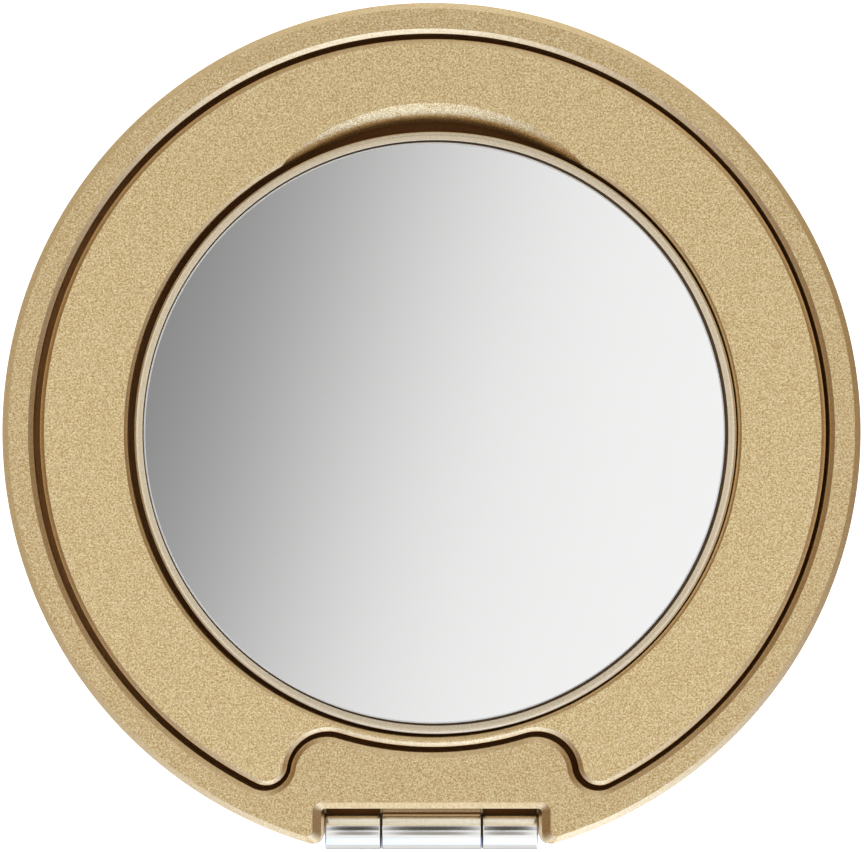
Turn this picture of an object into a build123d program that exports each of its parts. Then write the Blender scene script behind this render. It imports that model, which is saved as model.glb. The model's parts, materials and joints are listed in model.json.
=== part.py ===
from build123d import *
import os
from math import acos, cos, radians, sin, tan

os.makedirs("parts", exist_ok=True)

# A round powder compact lying closed on its base, in millimetres. +Z is up, and the origin is
# on the base's underside, at the centre of the round body. The front, where a fingertip opens
# the lid, is at -Y. The hinge is at +Y. The lid's upper face carries a lift-out round mirror
# in a well, and an inlay plate around it, set into the lid with a narrow shadow gap.

# ---- Driving dimensions ----------------------------------------------------------------
# Lid.
lid_radius = 37.0
lid_top = 12.6
lid_bottom = 8.5
rim_bevel_width = 0.56
rim_bevel_height = 0.8
pocket_depth = 2.5
web_thickness = 1.0
liner_recess_radius = 33.9
liner_thickness = 0.5
liner_bevel = 0.15
tab_block_y = 27.8

# Base.
base_radius = 36.8
base_top = 8.3
base_floor = 1.2
base_foot_round = 2.0
cavity_radius = 34.0
cavity_rear_y = 28.8
base_rear_gap = 0.3
edge_break = 0.25

# Shadow gap between the lid and its inlay plate, and how it bends round the hinge tab.
groove_radius = 34.06
groove_width = 0.46
tab_crest_radius = 27.35
shoulder_radius = 3.38
shoulder_angle = 17.0
lobe_radius = 2.06
pocket_bevel = 0.43
pocket_bevel_depth = 0.28
plate_bevel = 0.38
plate_bevel_depth = 0.26
plate_play_x = -0.11
film_thickness = 0.1
film_inset_inner = 1.2
film_inset_outer = 1.0
film_end_y = 20.0

# Mirror well, fingertip scoop and lift-out mirror.
well_radius = 26.27
well_bevel = 0.32
well_bevel_depth = 0.26
scoop_radius = 21.15
scoop_centre = 5.63
scoop_mouth_radius = 18.6
scoop_mouth_centre = 9.73
scoop_brow_width = 0.8
scoop_brow_angle = 24.0
scoop_fall_angle = 36.0
scoop_fall_steps = 5
scoop_brow_sag = 0.45
mirror_radius = 25.93
mirror_gap_below = 0.05
mirror_play_x = -0.34
mirror_play_y = 0.08
bezel_inner_radius = 25.2
bezel_height = 0.15
glass_radius = 25.03
glass_play_x = 0.1
glass_thickness = 1.0
glass_bevel = 0.12
glass_film_inset = 1.0
keeper_radius = 15.0
keeper_thickness = 0.45
mirror_magnet_radius = 3.0
mirror_magnet_thickness = 0.68
mirror_magnet_circle = 11.0
mirror_magnet_count = 3

# Hinge: three steel knuckles on one pin, each on its own leaf.
hinge_y = 34.6
hinge_z = 8.4
knuckle_radius = 1.6
pin_radius = 0.5
pin_clearance = 0.05
centre_knuckle_half = 4.31
side_knuckle_start = 4.41
side_knuckle_end = 9.24
knuckle_round = 0.12
leaf_thickness = 0.4
leaf_inner_y = 29.8
leaf_outer_y = 33.6
leaf_clearance = 0.1
lug_top = 9.2
saddle_clearance = 0.25
relief_angle = 47.0
screw_radius = 0.5
screw_head_radius = 0.9
screw_length = 3.0
lid_screw_x = 2.3
base_screw_x = 6.9
screw_y = 31.3

# Notch in the lid's rear edge, where the hinge shows.
notch_half_width = 10.25
notch_inner_y = 31.88
notch_corner = 0.8
notch_depth_bevel = 0.6
notch_wall_half_width = 9.5
notch_wall_y = 32.45
notch_wall_corner = 0.3
notch_foot_half_width = 9.32
notch_foot_round = 0.85
notch_foot_round_top = 0.55

# Inside the base.
well_centre_y = -2.6
deck_top = 7.7
deck_thickness = 1.2
deck_clearance = 0.15
pan_well_radius = 26.8
pan_well_wall = 1.2
pan_well_round = 0.5
pan_radius = 26.5
pan_wall = 0.4
pan_bottom = 1.5
pan_height = 4.0
pan_foot_round = 0.6
pad_radius = 12.0
cake_clearance = 0.05
cake_top = 5.3
cake_ring_depth = 0.2
cake_ring_half_width = 0.5
cake_ring_radii = (8.0, 15.0, 22.0)
puff_radius = 26.0
puff_bottom = 5.65
puff_top = 8.0
puff_round = 0.9
ribbon_half_width = 6.0
ribbon_half_length = 23.0
ribbon_thickness = 0.22
bumper_radius = 1.1
bumper_circle = 31.0
bumper_top = 8.5
bumper_round = 0.3
bumper_count = 4

# Closing magnets, and the fingertip relief below the lid's front edge.
latch_magnet_radius = 0.9
latch_magnet_height = 1.5
latch_magnet_circle = 35.45
latch_magnet_angle = 16.0
latch_magnet_count = 2
relief_radius = 18.0
relief_depth = 1.0
relief_bottom = 5.3

# ---- Levels worked out from them -------------------------------------------------------
pocket_floor = lid_top - pocket_depth
web_bottom = pocket_floor - web_thickness
plate_bottom = pocket_floor + film_thickness
mirror_bottom = pocket_floor + mirror_gap_below
glass_top = lid_top - bezel_height
glass_bottom = glass_top - glass_thickness
tray_floor_top = glass_bottom - film_thickness
base_rear = hinge_y - base_rear_gap
half_groove = groove_width / 2
knuckle_bore = pin_radius + pin_clearance
far = 45.0

plate_place = Location((plate_play_x, 0, 0))
mirror_place = Location((mirror_play_x, mirror_play_y, 0))
glass_place = Location((mirror_play_x + glass_play_x, mirror_play_y, 0))
lid_screw_places = [(-lid_screw_x, screw_y), (lid_screw_x, screw_y)]
base_screw_places = [(-base_screw_x, screw_y), (base_screw_x, screw_y)]


def save(builder, name):
    """Label a finished piece with its name and write it as one STEP file."""
    builder.part.label = name
    export_step(builder.part, f"parts/{name}.step")


def polar(radius, angle):
    """A point at this radius, with the angle in radians measured from +Y towards +X."""
    return Vector(radius * sin(angle), radius * cos(angle))


def mirrored(point):
    return Vector(-point.X, point.Y)


def arc_about(centre, radius, first, last):
    """The short arc about a centre between the directions of two points."""
    start = (first - centre).normalized()
    end = (last - centre).normalized()
    middle = (start + end).normalized()
    ThreePointArc(centre + start * radius, centre + middle * radius, centre + end * radius)


def inlay_outline(grow):
    """The shadow gap's centre line, grown outwards or shrunk inwards, as one closed line.

    It runs round the front on a large circle. At the rear it turns in round a lobe, over the
    hinge tab's rounded shoulder, and along the tab's crest beside the mirror well.
    """
    shoulder_distance = tab_crest_radius + shoulder_radius
    lobe_distance = groove_radius - lobe_radius
    reach = shoulder_radius + lobe_radius
    between = acos(
        (shoulder_distance**2 + lobe_distance**2 - reach**2)
        / (2 * shoulder_distance * lobe_distance)
    )
    shoulder = polar(shoulder_distance, radians(shoulder_angle))
    lobe = polar(lobe_distance, radians(shoulder_angle) + between)
    crest = polar(tab_crest_radius, radians(shoulder_angle))
    outer_end = polar(groove_radius, radians(shoulder_angle) + between)
    meeting = shoulder + (lobe - shoulder) * (shoulder_radius / reach)
    outer = groove_radius + grow
    inner = tab_crest_radius + grow
    outer_start = outer_end * (outer / groove_radius)
    crest_start = crest * (inner / tab_crest_radius)
    for flip in (lambda point: point, mirrored):
        arc_about(flip(lobe), lobe_radius + grow, flip(outer_end), flip(meeting))
        arc_about(flip(shoulder), shoulder_radius - grow, flip(meeting), flip(crest))
    ThreePointArc(outer_start, (0, -outer), mirrored(outer_start))
    ThreePointArc(crest_start, (0, inner), mirrored(crest_start))


def notch_outline(half_width, inner_y, corner, foot, rim):
    """The hinge notch seen from above, closed off well behind the body.

    Each foot turns out of the notch's side in an arc that ends tangent to the rim's circle.
    """
    foot_x = half_width + foot
    foot_y = ((rim - foot) ** 2 - foot_x**2) ** 0.5
    outward = Vector(foot_x, foot_y).normalized()
    heel = Vector(foot_x, foot_y) + outward * foot
    side = Vector(half_width, foot_y)
    inner_side = Vector(half_width, inner_y + corner)
    inner_end = Vector(half_width - corner, inner_y)
    tail = outward * (rim + far)
    for flip in (lambda point: point, mirrored):
        arc_about(flip(Vector(foot_x, foot_y)), foot, flip(heel), flip(side))
        arc_about(flip(Vector(half_width - corner, inner_y + corner)), corner,
                  flip(inner_side), flip(inner_end))
        Line(flip(side), flip(inner_side))
        Line(flip(heel), flip(tail))
    Line(inner_end, mirrored(inner_end))
    Line(tail, mirrored(tail))


# ---- Lid shell: rim, floor of the pocket and hinge tab in one piece ---------------------
with BuildPart() as lid_shell:
    with BuildSketch(Plane.XZ):
        with BuildLine():
            Polyline(
                (0, lid_bottom),
                (lid_radius - edge_break, lid_bottom),
                (lid_radius, lid_bottom + edge_break),
                (lid_radius, lid_top - rim_bevel_height),
                (lid_radius - rim_bevel_width, lid_top),
                (0, lid_top),
                close=True,
            )
        make_face()
    revolve(axis=Axis.Z)
    # The pocket that the inlay plate drops into, with a bevelled mouth.
    with BuildSketch(Plane.XY.offset(pocket_floor)):
        with BuildLine():
            inlay_outline(half_groove)
        make_face()
    extrude(amount=far, mode=Mode.SUBTRACT)
    rim_face = lid_shell.faces().sort_by(Axis.Z)[-1]
    chamfer(
        rim_face.inner_wires()[0].edges(),
        length=pocket_bevel,
        length2=pocket_bevel_depth,
        reference=rim_face,
    )
    # The shallow recess under the lid that takes the liner, with the tab left solid.
    with BuildSketch(Plane.XY.offset(lid_bottom)):
        Circle(liner_recess_radius)
        with Locations((0, tab_block_y + far / 2)):
            Rectangle(2 * far, far, mode=Mode.SUBTRACT)
    extrude(amount=web_bottom - lid_bottom, mode=Mode.SUBTRACT)
    # The hinge notch: a bevelled mouth, then walls with a little draft.
    mouth = (notch_half_width, notch_inner_y, notch_corner, notch_foot_round_top)
    wall = (notch_wall_half_width, notch_wall_y, notch_wall_corner, notch_foot_round)
    foot = (notch_foot_half_width, notch_wall_y, notch_wall_corner, notch_foot_round)
    bevel_foot = lid_top - notch_depth_bevel
    rim_slope = rim_bevel_width / rim_bevel_height
    rim_at_foot = lid_radius - rim_slope * (rim_bevel_height - notch_depth_bevel)
    notch_levels = [
        (lid_top, mouth, lid_radius - rim_bevel_width, bevel_foot, wall, rim_at_foot),
        (bevel_foot, wall, lid_radius, lid_bottom, foot, lid_radius),
    ]
    for upper_z, upper, upper_rim, lower_z, lower, lower_rim in notch_levels:
        with BuildSketch(Plane.XY.offset(upper_z)):
            with BuildLine():
                notch_outline(*upper, upper_rim)
            make_face()
        with BuildSketch(Plane.XY.offset(lower_z)):
            with BuildLine():
                notch_outline(*lower, lower_rim)
            make_face()
        loft(ruled=True, mode=Mode.SUBTRACT)
    # The lug over the centre leaf, hollowed to seat the centre knuckle.
    with BuildSketch(Plane.XY.offset(lid_bottom + leaf_thickness)):
        with Locations((0, (notch_inner_y + leaf_outer_y) / 2)):
            Rectangle(2 * (centre_knuckle_half - leaf_clearance), leaf_outer_y - notch_inner_y)
    extrude(amount=lug_top - lid_bottom - leaf_thickness)
    with BuildSketch(Plane.YZ):
        with Locations((hinge_y, hinge_z)):
            Circle(knuckle_radius)
    extrude(amount=side_knuckle_start, both=True, mode=Mode.SUBTRACT)
    # The recess for the centre leaf, open to the notch.
    with BuildSketch(Plane.XY.offset(lid_bottom)):
        with Locations((0, (leaf_inner_y - leaf_clearance + leaf_outer_y) / 2)):
            Rectangle(2 * centre_knuckle_half, leaf_outer_y - leaf_inner_y + leaf_clearance)
    extrude(amount=leaf_thickness, mode=Mode.SUBTRACT)
    # The slope behind the hinge axis, which lets the lid swing past upright.
    with BuildSketch(Plane.YZ):
        with BuildLine():
            Polyline(
                (hinge_y, hinge_z),
                (far, hinge_z),
                (far, hinge_z + (far - hinge_y) * tan(radians(relief_angle))),
                close=True,
            )
        make_face()
    extrude(amount=far, both=True, mode=Mode.SUBTRACT)
    # Blind holes for the leaf screws, the mirror's magnets and the closing magnets.
    with Locations(*[(x, y, lid_bottom + leaf_thickness) for x, y in lid_screw_places]):
        Cylinder(
            screw_radius,
            screw_length - leaf_thickness,
            align=(Align.CENTER, Align.CENTER, Align.MIN),
            mode=Mode.SUBTRACT,
        )
    with Locations((0, 0, pocket_floor)):
        with PolarLocations(mirror_magnet_circle, mirror_magnet_count, start_angle=90):
            Cylinder(
                mirror_magnet_radius,
                mirror_magnet_thickness,
                align=(Align.CENTER, Align.CENTER, Align.MAX),
                mode=Mode.SUBTRACT,
            )
    with Locations((0, 0, lid_bottom)):
        with PolarLocations(
            latch_magnet_circle,
            latch_magnet_count,
            start_angle=-90 - latch_magnet_angle,
            angular_range=2 * latch_magnet_angle,
            endpoint=True,
        ):
            Cylinder(
                latch_magnet_radius,
                latch_magnet_height,
                align=(Align.CENTER, Align.CENTER, Align.MIN),
                mode=Mode.SUBTRACT,
            )
save(lid_shell, "lid_shell")

# ---- Inlay plate: the ring around the mirror, with the fingertip scoop -------------------
with BuildPart() as inlay_plate:
    with BuildSketch(Plane.XY.offset(plate_bottom)):
        with BuildLine():
            inlay_outline(-half_groove)
        make_face()
    extrude(amount=lid_top - plate_bottom)
    plate_face = inlay_plate.faces().sort_by(Axis.Z)[-1]
    chamfer(
        plate_face.edges(),
        length=plate_bevel,
        length2=plate_bevel_depth,
        reference=plate_face,
    )
    with Locations((0, 0, plate_bottom)):
        Cylinder(
            well_radius,
            lid_top - plate_bottom,
            align=(Align.CENTER, Align.CENTER, Align.MIN),
            mode=Mode.SUBTRACT,
        )
    with Locations((0, 0, lid_top - well_bevel_depth)):
        Cone(
            well_radius,
            well_radius + well_bevel,
            well_bevel_depth,
            align=(Align.CENTER, Align.CENTER, Align.MIN),
            mode=Mode.SUBTRACT,
        )
    # The scoop: from its mouth in the upper face a gentle brow slopes down, and then falls
    # away ever more steeply into an upright wall. Each step is (distance in, depth).
    scoop_run = scoop_mouth_radius + scoop_mouth_centre - scoop_radius - scoop_centre
    brow_start = radians(scoop_brow_angle)
    fall_start = radians(scoop_fall_angle)
    brow_radius = scoop_brow_width / (sin(fall_start) - sin(brow_start))
    fall_radius = (scoop_run - scoop_brow_width) / (1 - sin(fall_start))
    brow_depth = brow_radius * (cos(brow_start) - cos(fall_start))
    scoop_steps = [(0.0, 0.0), (scoop_brow_width / 2, brow_depth * scoop_brow_sag)]
    for step in range(scoop_fall_steps + 1):
        roll = fall_start + (radians(90) - fall_start) * step / scoop_fall_steps
        run = scoop_brow_width + fall_radius * (sin(roll) - sin(fall_start))
        scoop_steps.append((run, brow_depth + fall_radius * (cos(fall_start) - cos(roll))))
    with BuildSketch(Plane.XY.offset(plate_bottom)):
        with Locations((0, -scoop_centre)):
            Circle(scoop_radius)
    extrude(amount=lid_top - scoop_steps[-1][1] - plate_bottom, mode=Mode.SUBTRACT)
    for run, depth in scoop_steps:
        share = 1 - run / scoop_run
        with BuildSketch(Plane.XY.offset(lid_top - depth)):
            with Locations((0, -scoop_centre - share * (scoop_mouth_centre - scoop_centre))):
                Circle(scoop_radius + share * (scoop_mouth_radius - scoop_radius))
    loft(ruled=True, mode=Mode.SUBTRACT)
inlay_plate.part.locate(plate_place)
save(inlay_plate, "inlay_plate")

# ---- Adhesive film under the inlay plate, a horseshoe that stops short of the tab --------
with BuildPart() as inlay_adhesive:
    with BuildSketch(Plane.XY.offset(pocket_floor)):
        Circle(groove_radius - film_inset_outer)
        Circle(well_radius + film_inset_inner, mode=Mode.SUBTRACT)
        with Locations((0, film_end_y + far / 2)):
            Rectangle(2 * far, far, mode=Mode.SUBTRACT)
    extrude(amount=film_thickness)
inlay_adhesive.part.locate(plate_place)
save(inlay_adhesive, "inlay_adhesive")

# ---- Magnets under the mirror: three discs flush with the well's floor -------------------
with BuildPart() as mirror_magnets:
    with Locations((0, 0, pocket_floor)):
        with PolarLocations(mirror_magnet_circle, mirror_magnet_count, start_angle=90):
            Cylinder(
                mirror_magnet_radius,
                mirror_magnet_thickness,
                align=(Align.CENTER, Align.CENTER, Align.MAX),
            )
save(mirror_magnets, "mirror_magnets")

# ---- Liner that closes the lid's underside ----------------------------------------------
with BuildPart() as lid_liner:
    with BuildSketch(Plane.XY.offset(web_bottom - liner_thickness)):
        Circle(liner_recess_radius - deck_clearance)
        with Locations((0, tab_block_y - deck_clearance + far / 2)):
            Rectangle(2 * far, far, mode=Mode.SUBTRACT)
    extrude(amount=liner_thickness)
    chamfer(lid_liner.faces().sort_by(Axis.Z)[0].edges(), length=liner_bevel)
save(lid_liner, "lid_liner")


def latch_magnets(level, side):
    """Two small upright magnets in a rim, either side of the front."""
    with Locations((0, 0, level)):
        with PolarLocations(
            latch_magnet_circle,
            latch_magnet_count,
            start_angle=-90 - latch_magnet_angle,
            angular_range=2 * latch_magnet_angle,
            endpoint=True,
        ):
            Cylinder(
                latch_magnet_radius,
                latch_magnet_height,
                align=(Align.CENTER, Align.CENTER, side),
            )


with BuildPart() as lid_latch_magnets:
    latch_magnets(lid_bottom, Align.MIN)
save(lid_latch_magnets, "lid_latch_magnets")

with BuildPart() as base_latch_magnets:
    latch_magnets(base_top, Align.MAX)
save(base_latch_magnets, "base_latch_magnets")

# ---- Lift-out mirror: tray with a raised bezel, film, glass and steel keeper -------------
with BuildPart() as mirror_tray:
    with BuildSketch(Plane.XZ):
        with BuildLine():
            bezel_width = mirror_radius - bezel_inner_radius
            Polyline(
                (bezel_inner_radius, lid_top - bezel_height),
                (bezel_inner_radius, tray_floor_top),
                (0, tray_floor_top),
                (0, mirror_bottom + keeper_thickness),
                (keeper_radius, mirror_bottom + keeper_thickness),
                (keeper_radius, mirror_bottom),
                (mirror_radius - edge_break, mirror_bottom),
                (mirror_radius, mirror_bottom + edge_break),
                (mirror_radius, lid_top - bezel_height),
            )
            ThreePointArc(
                (mirror_radius, lid_top - bezel_height),
                (mirror_radius - bezel_width / 2, lid_top),
                (bezel_inner_radius, lid_top - bezel_height),
            )
        make_face()
    revolve(axis=Axis.Z)
mirror_tray.part.locate(mirror_place)
save(mirror_tray, "mirror_tray")

with BuildPart() as mirror_keeper:
    with Locations((0, 0, mirror_bottom + keeper_thickness)):
        Cylinder(
            keeper_radius - deck_clearance,
            keeper_thickness - mirror_gap_below,
            align=(Align.CENTER, Align.CENTER, Align.MAX),
        )
mirror_keeper.part.locate(mirror_place)
save(mirror_keeper, "mirror_keeper")

with BuildPart() as mirror_adhesive:
    with Locations((0, 0, tray_floor_top)):
        Cylinder(
            glass_radius - glass_film_inset,
            film_thickness,
            align=(Align.CENTER, Align.CENTER, Align.MIN),
        )
mirror_adhesive.part.locate(glass_place)
save(mirror_adhesive, "mirror_adhesive")

with BuildPart() as mirror_glass:
    with Locations((0, 0, glass_bottom)):
        Cylinder(glass_radius, glass_thickness, align=(Align.CENTER, Align.CENTER, Align.MIN))
    chamfer(mirror_glass.faces().sort_by(Axis.Z)[-1].edges(), length=glass_bevel)
mirror_glass.part.locate(glass_place)
save(mirror_glass, "mirror_glass")


# ---- Hinge ------------------------------------------------------------------------------
def knuckle(x_low, x_high, leaf_low, screw_x, bore, head_up):
    """One knuckle: a bored tube along X with a flat leaf that holds its screws."""
    middle = (x_low + x_high) / 2
    length = x_high - x_low
    with BuildPart() as piece:
        with BuildSketch(Plane.YZ.offset(middle)):
            with Locations((hinge_y, hinge_z)):
                Circle(knuckle_radius)
        extrude(amount=length / 2, both=True)
        fillet(piece.edges().filter_by(GeomType.CIRCLE), radius=knuckle_round)
        with BuildSketch(Plane.XY.offset(leaf_low)):
            with Locations((middle, (leaf_inner_y + leaf_outer_y) / 2)):
                Rectangle(length - 2 * leaf_clearance, leaf_outer_y - leaf_inner_y)
        extrude(amount=leaf_thickness)
        with BuildSketch(Plane.YZ.offset(middle)):
            with Locations((hinge_y, hinge_z)):
                Circle(bore)
        extrude(amount=length, both=True, mode=Mode.SUBTRACT)
        # Countersinks as deep as the leaf, wide on the side where the screws go in.
        low, high = countersink(head_up)
        with Locations(*[(x, screw_y, leaf_low) for x in screw_x]):
            Cone(
                low,
                high,
                leaf_thickness,
                align=(Align.CENTER, Align.CENTER, Align.MIN),
                mode=Mode.SUBTRACT,
            )
    return piece


def countersink(head_up):
    """The radii of a screw head's cone, at its lower and its upper end."""
    if head_up:
        return screw_radius, screw_head_radius
    return screw_head_radius, screw_radius


base_leaf_low = base_top - leaf_thickness
lid_screw_row = (-lid_screw_x, lid_screw_x)
hinge_centre_knuckle = knuckle(
    -centre_knuckle_half, centre_knuckle_half, lid_bottom, lid_screw_row, knuckle_bore, False
)
save(hinge_centre_knuckle, "hinge_centre_knuckle")

hinge_left_knuckle = knuckle(
    -side_knuckle_end, -side_knuckle_start, base_leaf_low, (-base_screw_x,), pin_radius, True
)
save(hinge_left_knuckle, "hinge_left_knuckle")

hinge_right_knuckle = knuckle(
    side_knuckle_start, side_knuckle_end, base_leaf_low, (base_screw_x,), pin_radius, True
)
save(hinge_right_knuckle, "hinge_right_knuckle")

with BuildPart() as hinge_pin:
    with BuildSketch(Plane.YZ):
        with Locations((hinge_y, hinge_z)):
            Circle(pin_radius)
    extrude(amount=side_knuckle_end, both=True)
save(hinge_pin, "hinge_pin")


def leaf_screws(places, leaf_low, head_up):
    """Countersunk screws, each a cone in the leaf and a shank in the wall behind it."""
    low, high = countersink(head_up)
    shank_start = leaf_low if head_up else leaf_low + leaf_thickness
    shank_side = Align.MAX if head_up else Align.MIN
    with Locations(*[(x, y, leaf_low) for x, y in places]):
        Cone(low, high, leaf_thickness, align=(Align.CENTER, Align.CENTER, Align.MIN))
    with Locations(*[(x, y, shank_start) for x, y in places]):
        Cylinder(
            screw_radius,
            screw_length - leaf_thickness,
            align=(Align.CENTER, Align.CENTER, shank_side),
        )


with BuildPart() as lid_hinge_screws:
    leaf_screws(lid_screw_places, lid_bottom, False)
save(lid_hinge_screws, "lid_hinge_screws")

with BuildPart() as base_hinge_screws:
    leaf_screws(base_screw_places, base_leaf_low, True)
save(base_hinge_screws, "base_hinge_screws")

# ---- Base shell -------------------------------------------------------------------------
with BuildPart() as base_shell:
    with BuildSketch(Plane.XZ):
        with BuildLine():
            Polyline(
                (base_radius, base_foot_round),
                (base_radius, base_top - edge_break),
                (base_radius - edge_break, base_top),
                (0, base_top),
                (0, 0),
                (base_radius - base_foot_round, 0),
            )
            RadiusArc(
                (base_radius - base_foot_round, 0),
                (base_radius, base_foot_round),
                -base_foot_round,
            )
        make_face()
    revolve(axis=Axis.Z)
    # The cavity, which leaves a solid block under the hinge.
    with BuildSketch(Plane.XY.offset(base_floor)):
        Circle(cavity_radius)
        with Locations((0, cavity_rear_y + far / 2)):
            Rectangle(2 * far, far, mode=Mode.SUBTRACT)
    extrude(amount=far, mode=Mode.SUBTRACT)
    # The flat back, just inside the hinge axis, so that the lid can swing past it.
    with BuildSketch(Plane.XY):
        with Locations((0, base_rear + far / 2)):
            Rectangle(2 * far, far)
    extrude(amount=far, mode=Mode.SUBTRACT)
    # Seats for the side knuckles, and a wider channel for the centre one.
    with BuildSketch(Plane.YZ):
        with Locations((hinge_y, hinge_z)):
            Circle(knuckle_radius)
    extrude(amount=side_knuckle_end, both=True, mode=Mode.SUBTRACT)
    with BuildSketch(Plane.YZ):
        with Locations((hinge_y, hinge_z)):
            Circle(knuckle_radius + saddle_clearance)
    extrude(amount=side_knuckle_start - leaf_clearance / 2, both=True, mode=Mode.SUBTRACT)
    leaf_seat_length = side_knuckle_end - side_knuckle_start
    with BuildSketch(Plane.XY.offset(base_leaf_low)):
        for side in (-1, 1):
            seat_x = side * (side_knuckle_start + side_knuckle_end) / 2
            with Locations((seat_x, (leaf_inner_y - leaf_clearance + leaf_outer_y) / 2)):
                Rectangle(leaf_seat_length, leaf_outer_y - leaf_inner_y + leaf_clearance)
    extrude(amount=far, mode=Mode.SUBTRACT)
    with Locations(*[(x, y, base_leaf_low) for x, y in base_screw_places]):
        Cylinder(
            screw_radius,
            screw_length - leaf_thickness,
            align=(Align.CENTER, Align.CENTER, Align.MAX),
            mode=Mode.SUBTRACT,
        )
    # Fingertip relief under the lid's front edge, and holes for the closing magnets.
    with BuildSketch(Plane.XY.offset(relief_bottom)):
        with Locations((0, -(base_radius + relief_radius - relief_depth))):
            Circle(relief_radius)
    extrude(amount=far, mode=Mode.SUBTRACT)
    with Locations((0, 0, base_top)):
        with PolarLocations(
            latch_magnet_circle,
            latch_magnet_count,
            start_angle=-90 - latch_magnet_angle,
            angular_range=2 * latch_magnet_angle,
            endpoint=True,
        ):
            Cylinder(
                latch_magnet_radius,
                latch_magnet_height,
                align=(Align.CENTER, Align.CENTER, Align.MAX),
                mode=Mode.SUBTRACT,
            )
save(base_shell, "base_shell")

# ---- Deck: the tray inside the base, with the round wall that holds the powder pan -------
with BuildPart() as base_deck:
    with BuildSketch(Plane.XY.offset(deck_top - deck_thickness)):
        Circle(cavity_radius - deck_clearance)
        with Locations((0, cavity_rear_y - deck_clearance + far / 2)):
            Rectangle(2 * far, far, mode=Mode.SUBTRACT)
    extrude(amount=deck_thickness)
    with BuildSketch(Plane.XY.offset(base_floor)):
        with Locations((0, well_centre_y)):
            Circle(pan_well_radius + pan_well_wall)
    extrude(amount=deck_top - base_floor)
    with BuildSketch(Plane.XY.offset(base_floor)):
        with Locations((0, well_centre_y)):
            Circle(pan_well_radius)
    extrude(amount=far, mode=Mode.SUBTRACT)
    well_mouth = base_deck.faces().sort_by(Axis.Z)[-1].inner_wires()[0].edges()
    fillet(well_mouth, radius=pan_well_round)
save(base_deck, "base_deck")

with BuildPart() as closing_bumpers:
    with Locations((0, 0, deck_top)):
        with PolarLocations(bumper_circle, bumper_count, start_angle=45):
            Cylinder(
                bumper_radius,
                bumper_top - deck_top,
                align=(Align.CENTER, Align.CENTER, Align.MIN),
            )
    bumper_crowns = closing_bumpers.faces().filter_by(Axis.Z).group_by(Axis.Z)[-1]
    fillet(bumper_crowns.edges(), radius=bumper_round)
save(closing_bumpers, "closing_bumpers")

# ---- Powder pan, its pad, the pressed powder and the puff -------------------------------
with BuildPart() as pan_pad:
    with Locations((0, well_centre_y, base_floor)):
        Cylinder(
            pad_radius,
            pan_bottom - base_floor,
            align=(Align.CENTER, Align.CENTER, Align.MIN),
        )
save(pan_pad, "pan_pad")

with BuildPart() as powder_pan:
    with Locations((0, well_centre_y, pan_bottom)):
        Cylinder(pan_radius, pan_height, align=(Align.CENTER, Align.CENTER, Align.MIN))
    fillet(powder_pan.faces().sort_by(Axis.Z)[0].edges(), radius=pan_foot_round)
    with Locations((0, well_centre_y, pan_bottom + pan_wall)):
        Cylinder(
            pan_radius - pan_wall,
            pan_height,
            align=(Align.CENTER, Align.CENTER, Align.MIN),
            mode=Mode.SUBTRACT,
        )
save(powder_pan, "powder_pan")

cake_radius = pan_radius - pan_wall - cake_clearance
cake_bottom = pan_bottom + pan_wall
with BuildPart() as powder_cake:
    with Locations((0, well_centre_y, cake_bottom)):
        Cylinder(cake_radius, cake_top - cake_bottom, align=(Align.CENTER, Align.CENTER, Align.MIN))
    # Shallow pressed rings.
    with BuildSketch(Plane.XY.offset(cake_top - cake_ring_depth)):
        with Locations((0, well_centre_y)):
            for ring_radius in cake_ring_radii:
                Circle(ring_radius + cake_ring_half_width)
                Circle(ring_radius - cake_ring_half_width, mode=Mode.SUBTRACT)
    extrude(amount=cake_ring_depth, mode=Mode.SUBTRACT)
save(powder_cake, "powder_cake")

with BuildPart() as puff_pad:
    with Locations((0, well_centre_y, puff_bottom)):
        Cylinder(
            puff_radius,
            puff_top - puff_bottom,
            align=(Align.CENTER, Align.CENTER, Align.MIN),
        )
    fillet(puff_pad.edges().filter_by(GeomType.CIRCLE), radius=puff_round)
save(puff_pad, "puff_pad")

with BuildPart() as puff_ribbon:
    with BuildSketch(Plane.XY.offset(puff_top)):
        with Locations((0, well_centre_y)):
            Rectangle(2 * ribbon_half_length, 2 * ribbon_half_width)
    extrude(amount=ribbon_thickness)
save(puff_ribbon, "puff_ribbon")
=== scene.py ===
import json
from contextlib import contextmanager
from math import acos, atan2, cos, exp, hypot, pi, radians, sin, sqrt, tan

import bmesh
import bpy
import numpy as np
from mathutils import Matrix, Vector, noise


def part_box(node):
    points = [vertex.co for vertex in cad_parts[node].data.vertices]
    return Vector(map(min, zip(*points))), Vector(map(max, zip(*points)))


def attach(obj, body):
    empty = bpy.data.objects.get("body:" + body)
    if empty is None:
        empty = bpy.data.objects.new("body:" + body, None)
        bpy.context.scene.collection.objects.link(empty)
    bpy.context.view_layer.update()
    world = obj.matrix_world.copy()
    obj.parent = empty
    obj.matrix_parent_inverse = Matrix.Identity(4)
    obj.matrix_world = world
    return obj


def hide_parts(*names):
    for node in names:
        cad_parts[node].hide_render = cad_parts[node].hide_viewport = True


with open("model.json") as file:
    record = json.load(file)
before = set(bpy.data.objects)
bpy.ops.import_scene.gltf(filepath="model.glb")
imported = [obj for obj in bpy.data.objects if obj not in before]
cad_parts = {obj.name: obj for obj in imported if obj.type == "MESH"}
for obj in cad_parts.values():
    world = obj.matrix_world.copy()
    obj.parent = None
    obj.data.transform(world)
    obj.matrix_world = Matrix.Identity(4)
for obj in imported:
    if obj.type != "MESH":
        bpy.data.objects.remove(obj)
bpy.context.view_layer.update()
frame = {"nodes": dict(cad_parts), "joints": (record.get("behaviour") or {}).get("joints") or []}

scene = bpy.context.scene

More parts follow.
